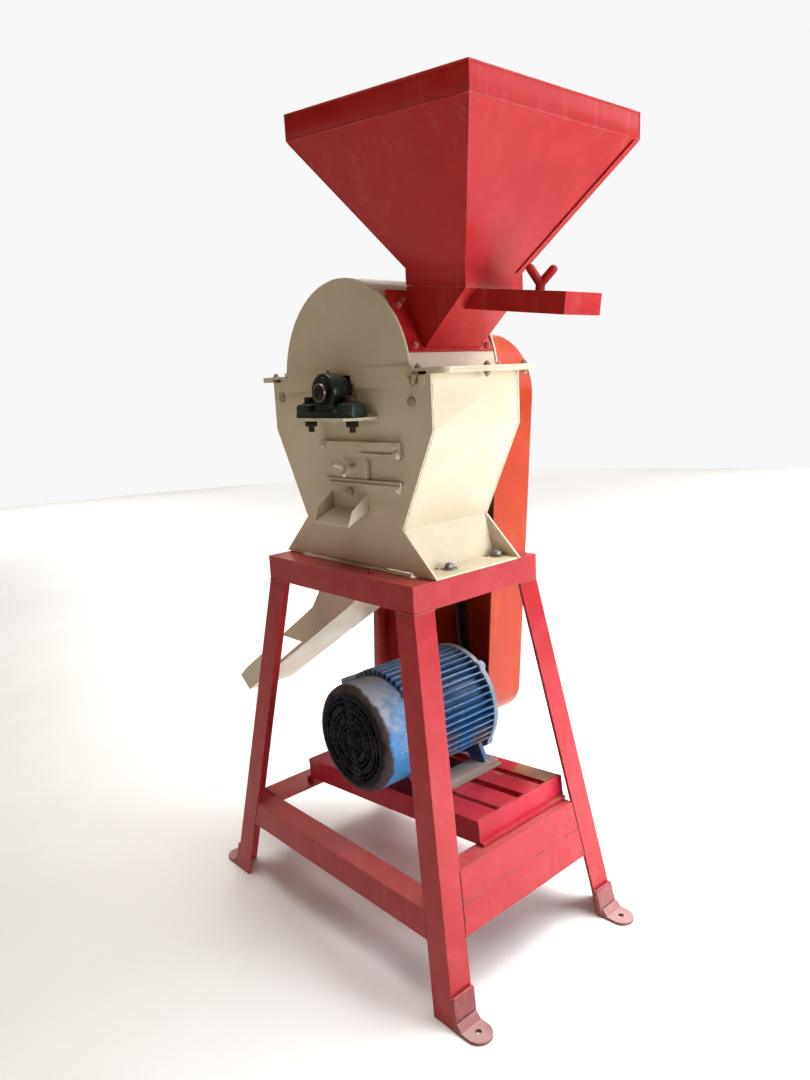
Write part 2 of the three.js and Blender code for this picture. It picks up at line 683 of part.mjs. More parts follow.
// A funnel under the casing that turns into a sloping duct, then into an open tray with end cheeks.
function dischargeChute() {
  const { halfY, mouthZ, mouthX, slope, endX, cheek, cheekFrom } = CHUTE;
  const at = (z) => mouthX + (z - mouthZ) / slope;
  const skew = SHEET / Math.sin(Math.atan(slope));
  const stack = [[898, -150, 126], [835, -194, halfY], [738, -262, halfY], [mouthZ, -424, halfY]];
  const outer = stack.map(([z, left, half]) => ring(left, z, at(z), z, half));
  const hollow = stack.map(([z, left, half]) => ring(left + skew, z, at(z) - skew, z, half - SHEET));
  const above = ring(-150 + skew, 901, at(901) - skew, 901, 126);
  const below = ring(-424 + skew - 30, mouthZ - 20, mouthX - skew - 30, mouthZ - 20, halfY - SHEET);
  const duct = cut(loft(outer), loft([above, ...hollow, below]));
  const lift = SHEET * Math.hypot(1, slope);
  const from = mouthX + 12;
  const bed = (x, height) => [x, chuteFloor(x) + height];
  const tray = outline([bed(from, 0), bed(endX, 0), bed(endX, lift), bed(from, lift)]);
  const lip = outline([bed(from, 0), bed(endX, 0), bed(endX, 12), bed(from, 12)]);
  const rise = cheek * Math.hypot(1, slope);
  const endCheek = outline([bed(cheekFrom, 0), bed(endX, 0), bed(endX - 46, 68), bed(endX - 3, rise),
    bed(cheekFrom, rise)]);
  const sides = [[-halfY, -halfY + SHEET], [halfY - SHEET, halfY]];
  return join(duct, extrudeY(tray, -halfY, halfY), ...sides.map(([y0, y1]) => extrudeY(lip, y0, y1)),
    ...sides.map(([y0, y1]) => extrudeY(endCheek, y0, y1)));
}

function buildCasing() {
  add('casing_lower', lowerCasing(), creamPaint);
  add('casing_upper', upperCasing(), creamPaint);
  add('screen', screenSheet(), rotorSteel);
  add('sample_spout', sampleSpout(), creamPaint);
  add('discharge_chute', dischargeChute(), creamPaint);
  add('sample_door', sampleDoor(), creamPaint);
  const clamp = new THREE.Group();
  clamp.position.set(DOOR.boltX, -CASE.halfY - GAP - DOOR.thick - 7, DOOR.boltZ);
  clamp.rotation.set(90 * DEG, 0, -35 * DEG);
  mill.add(clamp);
  add('sample_door_wing_bolt', wingBolt(8, 25, 42, 5.5), creamPaint, clamp);
}

// ---- Rotor --------------------------------------------------------------------------------------

const PINS = [['1', 45], ['2', 135], ['3', 225], ['4', 315]];

function pinPlace(angle) {
  return [ROTOR.pinCircle * Math.cos(angle * DEG), ROTOR.pinCircle * Math.sin(angle * DEG)];
}

function hammerRow(pin, bay) {
  const spacing = 20;
  return (bay < 0 ? -80 : 20) + pin * spacing;
}

function millShaft() {
  const { radius, pulleyRadius, front, back } = SHAFT;
  return turned([
    [0, front], [radius - 2, front], [radius, front + 2], [radius, 206], [pulleyRadius, 206],
    [pulleyRadius, back - 2], [pulleyRadius - 2, back], [0, back],
  ], 24);
}

function rotorDisc(y) {
  const shape = outline(arcPoints(0, 0, ROTOR.discRadius, 0, 360, 32).slice(0, -1));
  shape.holes.push(circleHole(0, 0, SHAFT.radius + 0.6, 24));
  for (const [, angle] of PINS) {
    const [x, z] = pinPlace(angle);
    shape.holes.push(circleHole(x, z, ROTOR.pinRadius + 0.4, 12));
  }
  return extrudeY(shape, y - ROTOR.discThick / 2, y + ROTOR.discThick / 2);
}

// A pin with its spacer sleeves, which leave room only for the discs and the hammers.
function hammerPin(rows) {
  const { discs, discThick, pinRadius, spacer } = ROTOR;
  const taken = [
    ...discs.map((y) => [y - discThick / 2, y + discThick / 2]),
    ...rows.map((y) => [y - HAMMER.thick / 2, y + HAMMER.thick / 2]),
  ].sort((p, q) => p[0] - q[0]);
  const end = discs[2] + discThick / 2;
  const profile = [[0, -end - 6], [pinRadius, -end - 6]];
  for (let i = 0; i + 1 < taken.length; i += 1) {
    const [y0, y1] = [taken[i][1] + 1, taken[i + 1][0] - 1];
    profile.push([pinRadius, y0], [spacer, y0], [spacer, y1], [pinRadius, y1]);
  }
  profile.push([pinRadius, end + 6], [0, end + 6]);
  return turned(profile, 12);
}

function hammer(y) {
  const half = HAMMER.width / 2;
  const shape = outline([[-half, -HAMMER.tip], [half, -HAMMER.tip], ...arcPoints(0, 0, half, 0, 180, 10)]);
  shape.holes.push(circleHole(0, 0, ROTOR.pinRadius + 0.6, 12));
  return extrudeY(shape, y - HAMMER.thick / 2, y + HAMMER.thick / 2);
}

// A grooved V-belt pulley for two belts.
function pulley(radius, bore) {
  const { y, width, spacing, groove } = PULLEY;
  const profile = [[bore, y - width / 2], [radius, y - width / 2]];
  for (const side of [-0.5, 0.5]) {
    const middle = y + side * spacing;
    profile.push([radius, middle - 8.5], [radius - groove, middle - 6.6]);
    profile.push([radius - groove, middle + 6.6], [radius, middle + 8.5]);
  }
  profile.push([radius, y + width / 2], [bore, y + width / 2], [bore, y - width / 2]);
  return turned(profile, 28);
}

function bearing() {
  const { halfX, halfY, foot: footHeight, ring: ringRadius, ringHalf } = BEARING;
  const sole = SHELF.top + GAP - SHAFT.z;
  const base = outline([
    [-halfX, -halfY + 10], [-halfX + 14, -halfY], [halfX - 14, -halfY], [halfX, -halfY + 10],
    [halfX, halfY - 10], [halfX - 14, halfY], [-halfX + 14, halfY], [-halfX, halfY - 10],
  ]);
  const plinth = outline([[-54, sole + 2], [54, sole + 2], [38, -18], [-38, -18]]);
  const body = join(extrudeZ(base, sole, sole + footHeight), extrudeY(plinth, -ringHalf + 2, ringHalf - 2),
    rodY(ringRadius, -ringHalf, ringHalf, 0, 0, 32), rodY(COLLAR.radius, -COLLAR.half, COLLAR.half, 0, 0, 24));
  return cut(body, rodY(SHAFT.radius + 0.6, -60, 60, 0, 0, 24));
}

function belt(y) {
  const centre = motor.localToWorld(new THREE.Vector3(0, 0, 0));
  const loop = (shrink) => aroundCircles(0, SHAFT.z, PULLEY.millRadius - shrink,
    centre.x, centre.z, PULLEY.motorRadius - shrink, 20);
  const shape = outline(loop(0));
  shape.holes.push(new THREE.Path(loop(BELT.thick).map(([x, z]) => new THREE.Vector2(x, z))));
  return extrudeY(shape, y - BELT.width / 2, y + BELT.width / 2);
}

function beltGuard() {
  const { front, back, wall, topZ, topRadius, lowZ, lowRadius } = GUARD;
  const around = (inset) => outline(aroundCircles(0, topZ, topRadius - inset, 0, lowZ, lowRadius - inset, 24));
  const tabs = [-104, 104].map((x) => box(x - 14, x + 14, STAND.halfY + GAP, front + 20, 846, 886));
  const box3 = join(extrudeY(around(0), front, back), ...tabs);
  return cut(box3, extrudeY(around(wall), front - 40, back - wall));
}

function buildRotor() {
  const axle = new THREE.Group();
  axle.position.set(0, 0, SHAFT.z);
  mill.add(axle);
  add('mill_shaft', millShaft(), bareSteel, axle);
  ROTOR.discs.forEach((y, i) => add(`rotor_disc_${i + 1}`, rotorDisc(y), rotorSteel, axle));
  PINS.forEach(([number, angle], i) => {
    const pinAxis = new THREE.Group();
    const [x, z] = pinPlace(angle);
    pinAxis.position.set(x, 0, z);
    axle.add(pinAxis);
    const rows = [hammerRow(i, -1), hammerRow(i, 1)];
    add(`hammer_pin_${number}`, hammerPin(rows), bareSteel, pinAxis);
    rows.forEach((y, side) => add(`hammer_${number}${side ? 'b' : 'a'}`, hammer(y), rotorSteel, pinAxis));
  });
  for (const [name, y] of [['bearing_front', BEARING.frontY], ['bearing_rear', BEARING.rearY]]) {
    const seat = new THREE.Group();
    seat.position.y = y;
    axle.add(seat);
    add(name, bearing(), blackPaint, seat);
  }
  add('mill_pulley', pulley(PULLEY.millRadius, SHAFT.pulleyRadius + GAP), castIron, axle);
}

function buildDrive() {
  mill.updateMatrixWorld(true);
  add('drive_belt_front', belt(PULLEY.y - PULLEY.spacing / 2), beltRubber);
  add('drive_belt_rear', belt(PULLEY.y + PULLEY.spacing / 2), beltRubber);
  add('belt_guard', beltGuard(), orangePaint);
}

// ---- Hopper and feed gate -----------------------------------------------------------------------

function rimRing(inset, dz) {
  const { x, z, halfX, halfY, slope } = RIM;
  const reach = halfX - inset;
  return ring(x - reach, z - slope * reach + dz, x + reach, z + slope * reach + dz, halfY - inset);
}

function neckRing(inset, dz) {
  const { x, z, half, slope } = NECK;
  const reach = half - inset;
  return ring(x - reach, z - slope * reach + dz, x + reach, z + slope * reach + dz, reach);
}

function hopperShell() {
  const outer = loft([rimRing(0, 0), rimRing(0, -RIM.band), neckRing(0, 0), neckRing(0, -NECK.drop)]);
  const inner = loft([
    rimRing(SHEET, 5), rimRing(SHEET, -RIM.band), neckRing(SHEET, 0), neckRing(SHEET, -NECK.drop - 5),
  ]);
  return cut(outer, inner);
}

// The gate's frame: distance down the slope from the neck's middle, then height above its top face.
const gateTilt = Math.atan(-NECK.slope);
const gateOrigin = [NECK.x, NECK.z - NECK.drop];

function gatePoint(along, up) {
  return [
    gateOrigin[0] + along * Math.cos(gateTilt) + up * Math.sin(gateTilt),
    gateOrigin[1] - along * Math.sin(gateTilt) + up * Math.cos(gateTilt),
  ];
}

function gateSlab(a0, a1, h0, h1, y0, y1) {
  const shape = outline([gatePoint(a0, h0), gatePoint(a1, h0), gatePoint(a1, h1), gatePoint(a0, h1)]);
  return extrudeY(shape, y0, y1);
}

function throatRings(inset, lowOut, lift) {
  const half = NECK.half - inset;
  const [topLeft, topRight] = [gatePoint(-half, lift), gatePoint(half, lift)];
  const [lowLeft, lowRight] = [inletPoint(8 + inset, lowOut), inletPoint(117 - inset, lowOut)];
  return [ring(...topLeft, ...topRight, half), ring(...lowLeft, ...lowRight, half)];
}

// The throat drops from the gate on to the casing's inlet; the gate's long box sticks out of it.
function feedThroat() {
  const seatTop = GATE.top - GATE.thick - GAP;
  const { end, height, front, back, slotStart, slotEnd, slotHalf } = GATE_BOX;
  const flangeLow = CASE.sheet / 2 + GAP;
  const tube = loft(throatRings(0, flangeLow + 4, -GAP));
  const hollow = loft(throatRings(SHEET, flangeLow - 12, 8));
  const gateShell = gateSlab(20, end, -height, -GAP, front, back);
  const flange = inletSlab(-24, 123, flangeLow, flangeLow + 5, CASE.halfY - CASE.plate - 4);
  const body = cut(join(tube, gateShell, flange), hollow);
  const sill = cut(gateSlab(-90, 90, seatTop - 3, seatTop, -90, 90), gateSlab(-60, 52, -60, 10, -44, 50));
  const seat = common(sill, loft(throatRings(0.5, flangeLow + 4, -GAP)));
  const cavity = gateSlab(0, end - SHEET, SHEET - height, -SHEET - GAP, front + SHEET, back - SHEET);
  const slot = gateSlab(slotStart, slotEnd, -SHEET - 2, 5, 3 - slotHalf, 3 + slotHalf);
  return join(cut(body, cavity, slot), seat);
}

function feedGate() {
  const { left, length, front, back, top, thick, boltAt } = GATE;
  const plate = gateSlab(left, left + length, top - thick, top, front, back);
  const [x, z] = gatePoint(boltAt, 0);
  const turn = (geometry) => geometry.rotateY(gateTilt).translate(x, 3, z);
  const boss = turn(rodZ(10, top - 1, -4.5, 0, 0, 6));
  return cut(join(plate, boss), turn(rodZ(5.6, -60, 60, 0, 0, 16)));
}

function buildHopper() {
  add('hopper', hopperShell(), redPaint);
  add('feed_throat', feedThroat(), redPaint);
  add('feed_gate', feedGate(), bareSteel);
  const clamp = new THREE.Group();
  const [x, z] = gatePoint(GATE.boltAt, 0);
  clamp.position.set(x, 3, z);
  clamp.rotation.set(0, gateTilt, 0);
  const turn = new THREE.Group();
  turn.rotation.z = 40 * DEG;
  clamp.add(turn);
  mill.add(clamp);
  add('feed_gate_wing_bolt', wingBolt(13, 33, 38, 8.5), redPaint, turn);
}

// ---- Assembly -----------------------------------------------------------------------------------

buildStand();
buildDeck();
buildMotor();
buildCasing();
buildRotor();
buildDrive();
buildHopper();

mill.updateMatrixWorld(true);
const bounds = new THREE.Box3().setFromObject(mill, true);
mill.position.set(-(bounds.min.x + bounds.max.x) / 2, -(bounds.min.y + bounds.max.y) / 2, -bounds.min.z);
mill.updateMatrixWorld(true);

export default mill;
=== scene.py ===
"""A hammer mill on a splayed angle-iron stand: its painted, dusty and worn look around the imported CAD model.

Lengths are machine millimetres: x and y from the middle of the top frame, z from the floor.
"""

import json
import math

import bmesh
import bpy
from mathutils import Matrix, Vector


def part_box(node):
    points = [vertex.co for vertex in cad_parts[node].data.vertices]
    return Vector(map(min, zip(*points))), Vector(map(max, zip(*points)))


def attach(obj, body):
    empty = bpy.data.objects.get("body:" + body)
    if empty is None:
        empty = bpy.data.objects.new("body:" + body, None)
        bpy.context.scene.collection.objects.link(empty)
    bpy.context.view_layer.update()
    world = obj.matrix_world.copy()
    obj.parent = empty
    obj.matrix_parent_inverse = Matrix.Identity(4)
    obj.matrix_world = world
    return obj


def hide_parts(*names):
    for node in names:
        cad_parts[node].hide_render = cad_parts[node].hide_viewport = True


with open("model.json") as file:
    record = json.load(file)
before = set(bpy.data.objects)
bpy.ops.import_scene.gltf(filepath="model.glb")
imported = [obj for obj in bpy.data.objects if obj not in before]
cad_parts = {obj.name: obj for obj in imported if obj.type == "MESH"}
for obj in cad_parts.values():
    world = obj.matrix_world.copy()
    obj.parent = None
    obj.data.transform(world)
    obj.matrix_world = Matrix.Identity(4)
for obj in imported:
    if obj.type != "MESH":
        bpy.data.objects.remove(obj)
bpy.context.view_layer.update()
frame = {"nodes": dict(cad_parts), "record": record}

low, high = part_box("top_frame")
MACHINE = Matrix.Translation(((low.x + high.x) / 2, (low.y + high.y) / 2, 0)) @ Matrix.Scale(0.001, 4)

# ---- Sizes shared by several pieces, in machine millimetres ------------------------------------

LEG_TOP = 839.7
ANGLE_WIDTH = 60
SHAFT_Z = (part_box("mill_shaft")[0].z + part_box("mill_shaft")[1].z) * 500
SHELF_TOP = 1245
FLANGE_TOP, FLANGE_BOTTOM = 1341.3, 1328.8
DECK = Matrix.Translation((13.5, 0, 326.1)) @ Matrix.Rotation(math.radians(-5.36), 4, "Y")
DECK_SLOPE = 0.0938
MOTOR = DECK @ Matrix.Translation((13, 0, 154))
CASE_FRONT = -136
GUARD_FRONT, GUARD_BACK = 212, 342
COWL_END = -187
TOP_OF_FRAME = 900
SMOOTHEST_PAINT = 0.285
GENTLE = 38


def leg_x(z):
    return 427 + (269.5 - 427) * z / LEG_TOP


def leg_y(z):
    return 286.5 + (199.8 - 286.5) * z / LEG_TOP


# ---- Camera, lights and floor ------------------------------------------------------------------


def aim(thing, target):
    """Points a light's or camera's -Z at a target in the row frame."""
    thing.rotation_euler = (Vector(target) - thing.location).to_track_quat("-Z", "Y").to_euler()


def add_camera():
    """The photo's camera, fitted to the stand's corners."""
    data = bpy.data.cameras.new("camera")
    data.sensor_width = 36
    data.lens = 27.28
    data.clip_end = 200
    right = Vector((0.6715, 0.7394, -0.0488))
    up = Vector((-0.1095, 0.1642, 0.9803))
    camera = bpy.data.objects.new("camera", data)
    camera.matrix_world = Matrix((right, up, right.cross(up))).transposed().to_4x4()
    camera.location = MACHINE @ Vector((1480.6, -1293.5, 1318.4))
    bpy.context.scene.collection.objects.link(camera)
    bpy.context.scene.camera = camera


def add_softbox(name, place, target, width, height, power, colour, spread=180):
    """A rectangular light, out of the camera's sight. Lengths are in metres in the row frame."""
    data = bpy.data.lights.new(name, "AREA")
    data.shape = "RECTANGLE"
    data.size = width
    data.size_y = height
    data.energy = power
    data.color = colour
    data.spread = math.radians(spread)
    light = bpy.data.objects.new(name, data)
    bpy.context.scene.collection.objects.link(light)
    light.location = place
    light.visible_camera = False
    aim(light, target)


def light_scene():
    """A cool softbox on the right, weaker ones round it, warm fill in front, and a ring over the floor."""
    middle = Vector((0, 0, 0.85))
    cool = (0.90, 0.955, 1.0)
    add_softbox("key", (4.05, 0.8, 1.2), middle, 1.8, 2.4, 114, cool)
    add_softbox("sheen", (2.5, 2.8, 2.3), (0.3, 0, 1.5), 2.2, 1.8, 34, cool)
    add_softbox("pool", (1.5, 1.5, 2.6), (1.2, 0.9, 0), 2.2, 2.2, 46, (0.98, 0.98, 1.0), 90)
    add_softbox("top", (-0.1, 0.5, 4.4), (-0.1, 0.5, 0), 3.8, 3.4, 56, (1.0, 0.98, 0.95), 80)
    add_softbox("front", (-0.6, -4.2, 2.4), middle, 2.0, 2.0, 14, (1.0, 0.62, 0.30))
    add_softbox("rear", (-2.8, 2.6, 2.6), middle, 2.0, 2.0, 26, (1.0, 0.97, 0.94))
    ring = [(230, 6.9), (290, 6.9), (290, 6.9), (150, 6.9), (120, 8.2), (130, 8.2)]
    for turn, (power, away) in enumerate(ring):
        angle = turn * math.pi / 3 + 0.25
        x, y = away * math.cos(angle), away * math.sin(angle)
        add_softbox(f"floor_light_{turn}", (x, y, 5), (x, y, 0), 9.0, 9.0, power, (1, 0.99, 0.97), 42)
    add_world()


def add_world():
    """A faint warm fill, seen by the camera as a near-white wall."""
    world = bpy.data.worlds.new("studio")
    world.use_nodes = True
    tree = world.node_tree
    tree.nodes.clear()
    choose = tree.nodes.new("ShaderNodeMixShader")
    for place, colour, strength in [(1, (1.0, 0.80, 0.58, 1), 0.08), (2, (1, 1, 1, 1), 0.94)]:
        shade = tree.nodes.new("ShaderNodeBackground")
        shade.inputs["Color"].default_value = colour
        shade.inputs["Strength"].default_value = strength
        tree.links.new(shade.outputs[0], choose.inputs[place])
    rays = tree.nodes.new("ShaderNodeLightPath")
    out = tree.nodes.new("ShaderNodeOutputWorld")
    tree.links.new(rays.outputs["Is Camera Ray"], choose.inputs[0])
    tree.links.new(choose.outputs[0], out.inputs[0])
    bpy.context.scene.world = world
    bpy.context.scene.view_settings.view_transform = "Standard"


# ---- Materials ---------------------------------------------------------------------------------


materials = {}  # by name, each one added as its graph is made


class Graph:
    """A material's node tree. Every texture is placed by the object's own coordinates, in metres."""

    def __init__(self, name):
        self.material = materials[name] = bpy.data.materials.new(name)
        self.material.use_nodes = True
        self.tree = self.material.node_tree
        self.tree.nodes.clear()
        self.place = self.tree.nodes.new("ShaderNodeTexCoord").outputs["Object"]

    def feed(self, socket, value):
        if isinstance(value, bpy.types.NodeSocket):
            self.tree.links.new(value, socket)
        elif socket.type == "RGBA" and len(value) == 3:
            socket.default_value = (*value, 1)
        else:
            socket.default_value = value

    def math(self, operation, a, b=0.0):
        node = self.tree.nodes.new("ShaderNodeMath")
        node.operation = operation
        self.feed(node.inputs[0], a)
        self.feed(node.inputs[1], b)
        return node.outputs[0]

    def times(self, *factors):
        product = factors[0]
        for factor in factors[1:]:
            product = self.math("MULTIPLY", product, factor)
        return product

    def distance(self, a, b):
        return self.math("SQRT", self.math("ADD", self.times(a, a), self.times(b, b)))

    def either(self, *values):
        most = values[0]
        for value in values[1:]:
            most = self.math("MAXIMUM", most, value)
        return most

    def stretched(self, stretch):
        node = self.tree.nodes.new("ShaderNodeMapping")
        self.feed(node.inputs["Vector"], self.place)
        node.inputs["Scale"].default_value = stretch
        return node.outputs[0]

    def noise(self, scale, detail=4.0, rough=0.55, stretch=None):
        node = self.tree.nodes.new("ShaderNodeTexNoise")
        self.feed(node.inputs["Vector"], self.stretched(stretch) if stretch else self.place)
        node.inputs["Scale"].default_value = scale
        node.inputs["Detail"].default_value = detail
        node.inputs["Roughness"].default_value = rough
        return node.outputs[0]

    def cells(self, scale):
        node = self.tree.nodes.new("ShaderNodeTexVoronoi")
        self.feed(node.inputs["Vector"], self.place)
        node.inputs["Scale"].default_value = scale
        return node.outputs["Distance"]

    def band(self, value, low, high, out_low=0.0, out_high=1.0):
        """A smooth step from low to high. It falls instead of rising where low is the larger."""
        node = self.tree.nodes.new("ShaderNodeMapRange")
        node.interpolation_type = "SMOOTHSTEP"
        self.feed(node.inputs["Value"], value)
        node.inputs["From Min"].default_value = low
        node.inputs["From Max"].default_value = high
        node.inputs["To Min"].default_value = out_low
        node.inputs["To Max"].default_value = out_high
        return node.outputs[0]

    def cloud(self, scale, detail, low, high, out_low=0.0, out_high=1.0, rough=0.55, stretch=None):
        """Noise through a band: patches of out_high on out_low."""
        return self.band(self.noise(scale, detail, rough, stretch), low, high, out_low, out_high)

    def mix(self, factor, a, b):
        node = self.tree.nodes.new("ShaderNodeMix")
        node.data_type = "RGBA"
        self.feed(node.inputs["Factor"], factor)
        self.feed(node.inputs["A"], a)
        self.feed(node.inputs["B"], b)
        return node.outputs["Result"]

    def axis(self, name, vector=None):
        """One coordinate of a vector, or of the place on the object."""
        node = self.tree.nodes.new("ShaderNodeSeparateXYZ")
        self.feed(node.inputs[0], vector or self.place)
        return node.outputs[name]

    def facing_up(self):
        return self.axis("Z", self.tree.nodes.new("ShaderNodeNewGeometry").outputs["Normal"])

    def edges(self, radius):
        """1 on outside and inside corners, 0 on flat faces."""
        rounded = self.tree.nodes.new("ShaderNodeBevel")
        rounded.samples = 4
        rounded.inputs["Radius"].default_value = radius
        plain = self.tree.nodes.new("ShaderNodeNewGeometry")
        dot = self.tree.nodes.new("ShaderNodeVectorMath")
        dot.operation = "DOT_PRODUCT"
        self.tree.links.new(rounded.outputs[0], dot.inputs[0])
        self.tree.links.new(plain.outputs["Normal"], dot.inputs[1])
        return self.band(dot.outputs["Value"], 0.98, 0.8, 0.0, 1.0)

    def crevices(self, distance):
        """1 deep in a corner between pieces, 0 in the open."""
        node = self.tree.nodes.new("ShaderNodeAmbientOcclusion")
        node.samples = 4
        node.inputs["Distance"].default_value = distance
        return self.band(node.outputs["AO"], 0.75, 0.2, 0.0, 1.0)

    def bump(self, height, distance, strength=1.0, under=None):
        node = self.tree.nodes.new("ShaderNodeBump")
        node.inputs["Strength"].default_value = strength
        node.inputs["Distance"].default_value = distance
        self.feed(node.inputs["Height"], height)
        if under:
            self.feed(node.inputs["Normal"], under)
        return node.outputs[0]

    def finish(self, colour, roughness, metallic=0.0, normal=None, coat=0.0,
               coat_roughness=0.1, specular=0.5):
        shader = self.tree.nodes.new("ShaderNodeBsdfPrincipled")
        self.feed(shader.inputs["Base Color"], colour)
        self.feed(shader.inputs["Roughness"], roughness)
        self.feed(shader.inputs["Metallic"], metallic)
        shader.inputs["Specular IOR Level"].default_value = specular
        shader.inputs["Coat Weight"].default_value = coat
        shader.inputs["Coat Roughness"].default_value = coat_roughness
        if normal:
            self.feed(shader.inputs["Normal"], normal)
        out = self.tree.nodes.new("ShaderNodeOutputMaterial")
        self.tree.links.new(shader.outputs[0], out.inputs[0])
        return self.material


DUST = (0.36, 0.27, 0.19)
RUST = (0.10, 0.035, 0.015)
RUST_BRIGHT = (0.24, 0.085, 0.03)


def bare_patch(g):
    """The deck's rear right corner, where the paint has gone to ochre primer."""
    corner = MACHINE @ (DECK @ Vector((322, 197, 0)))
    ragged = g.cloud(24, 5, 0.2, 0.8, -0.035, 0.035, rough=0.65)
    along = g.math("ADD", g.math("SUBTRACT", g.axis("X"), corner.x), ragged)
    across = g.math("ADD", g.math("SUBTRACT", g.axis("Y"), corner.y), ragged)
    worn = g.cloud(60, 5, 0.28, 0.5, rough=0.65)
    inside = g.times(g.band(along, -0.135, -0.115), g.band(across, -0.062, -0.05))
    return g.times(inside, g.band(g.facing_up(), 0.6, 0.9), worn)


def paint(name, colour, deep, faded, rough=0.32, coat=0.25, specular=0.26, dust=0.5, dust_colour=DUST,
          wear=0.5, worn=None, chips=0.3, chip=RUST, streaks=0.3, shade_and_grime=0.4,
          shade_and_grime_colour=(0.05, 0.03, 0.02), bare=False):
    """Brushed-on gloss paint: cloudy tone, brush marks, dust on top, rubbed edges, chips, runs, and grime with
    painted shade in the corners between pieces.
    """
    g = Graph(name)
    clouds = g.cloud(2.6, 3, 0.35, 0.68)
    mottle = g.cloud(17, 5, 0.45, 0.75, rough=0.6)
    tone = g.mix(clouds, colour, deep)
    tone = g.mix(g.times(mottle, 0.35), tone, faded)
    runs = g.cloud(1.0, 4, 0.52, 0.72, rough=0.6, stretch=(55, 55, 3.2))
    patches = g.cloud(4.5, 4, 0.42, 0.62)
    tone = g.mix(g.times(runs, patches, streaks), tone, g.mix(0.5, faded, dust_colour))
    if bare:
        primer = g.mix(g.noise(60, 5, 0.7), (0.50, 0.25, 0.08), (0.24, 0.12, 0.05))
        tone = g.mix(bare_patch(g), tone, primer)
    # Painted shade with grime: darker in the corners between pieces, broken up by a cloud.
    corner_shade_and_grime = g.times(g.crevices(0.035), g.cloud(30, 4, 0.25, 0.65, 0.35, 1.0), shade_and_grime)
    tone = g.mix(corner_shade_and_grime, tone, shade_and_grime_colour)
    lying = g.cloud(11, 5, 0.3, 0.62, 0.45, 1.0, rough=0.62)
    settled = g.times(g.band(g.facing_up(), 0.55, 0.95), lying, dust)
    film = g.times(g.cloud(6, 5, 0.5, 0.8, rough=0.65), 0.12 * dust)
    tone = g.mix(g.either(settled, film), tone, dust_colour)
    rubbed = g.times(g.edges(0.0022), g.cloud(38, 5, 0.38, 0.62, rough=0.65), wear)
    tone = g.mix(rubbed, tone, worn or faded)
    where = g.cloud(7, 3, 0.5, 0.66)
    spots = g.cloud(150, 3, 0.7, 0.73, rough=0.6)
    specks = g.band(g.cells(60), 0.10, 0.07)
    fewer = g.times(specks, where, g.cloud(15, 2, 0.5, 0.6))
    chipped = g.times(g.either(g.times(spots, where), fewer), chips)
    edge_chips = g.times(g.edges(0.003), g.cloud(110, 3, 0.6, 0.66, rough=0.6),
                         g.cloud(9, 2, 0.5, 0.62), chips)
    gone = g.either(chipped, edge_chips)
    tone = g.mix(gone, tone, g.mix(g.noise(260, 2), chip, RUST_BRIGHT))
    scratch = g.times(g.cloud(1.0, 2, 0.7, 0.73, rough=0.5, stretch=(7, 7, 520)), g.cloud(5, 2, 0.5, 0.6))
    tone = g.mix(g.times(scratch, 0.3), tone, faded)
    gloss = g.cloud(9, 4, 0.3, 0.7, rough - 0.07, rough + 0.1)
    gloss = g.math("ADD", gloss, g.times(g.either(settled, film), 0.4))
    gloss = g.either(gloss, g.times(gone, 0.8), SMOOTHEST_PAINT)
    brush = g.noise(1.0, 3, 0.5, (260, 260, 24))
    skin = g.bump(g.noise(230, 3, 0.5), 0.0004, 0.22)
    skin = g.bump(brush, 0.0004, 0.18, skin)
    skin = g.bump(g.noise(5, 2), 0.004, 0.12, skin)
    skin = g.bump(g.math("SUBTRACT", 1.0, gone), 0.0005, 0.6, skin)
    return g.finish(tone, gloss, 0.0, skin, coat, 0.16, specular)


def steel(name, colour, dark, rough=0.35, turned=None, rust=0.2, dust=0.2):
    """Bare steel: turning or rolling marks, oil-dark clouds, rust bloom and dust."""
    g = Graph(name)
    tone = g.mix(g.cloud(14, 5, 0.35, 0.7, rough=0.6), colour, dark)
    if turned:
        x, z = turned
        away_x = g.math("SUBTRACT", g.axis("X"), x)
        away_z = g.math("SUBTRACT", g.axis("Z"), z)
        radius = g.distance(away_x, away_z)
        marks = g.math("SINE", g.math("ADD", g.times(radius, 3600.0), g.times(g.axis("Y"), 4200.0)))
    else:
        marks = g.noise(1.0, 3, 0.6, (18, 700, 18))
    bloom = g.times(g.cloud(26, 6, 0.52, 0.72, rough=0.7), rust)
    tone = g.mix(bloom, tone, g.mix(g.noise(180, 3), RUST, RUST_BRIGHT))
    settled = g.times(g.band(g.facing_up(), 0.5, 0.95), dust)
    tone = g.mix(settled, tone, DUST)
    cover = g.either(bloom, settled)
    gloss = g.math("ADD", g.cloud(20, 4, 0.3, 0.7, rough, rough + 0.18), g.times(cover, 0.4))
    metal = g.math("SUBTRACT", 1.0, g.times(cover, 0.9))
    skin = g.bump(marks, 0.0002, 0.25)
    skin = g.bump(g.noise(120, 4), 0.0003, 0.25, skin)
    return g.finish(tone, gloss, metal, skin)


def zinc(name):
    """Plated fasteners gone dull, with grey paint and rust in the corners."""
    g = Graph(name)
    tone = g.mix(g.cloud(60, 4, 0.35, 0.7), (0.33, 0.31, 0.28), (0.12, 0.11, 0.10))
    rusty = g.either(g.times(g.crevices(0.006), 0.8), g.times(g.cloud(110, 4, 0.55, 0.7), 0.7))
    tone = g.mix(rusty, tone, RUST)
    gloss = g.cloud(90, 3, 0.3, 0.7, 0.38, 0.62)
    metal = g.band(rusty, 0.1, 0.6, 0.75, 0.1)
    return g.finish(tone, gloss, metal, g.bump(g.noise(300, 3), 0.0003, 0.3))


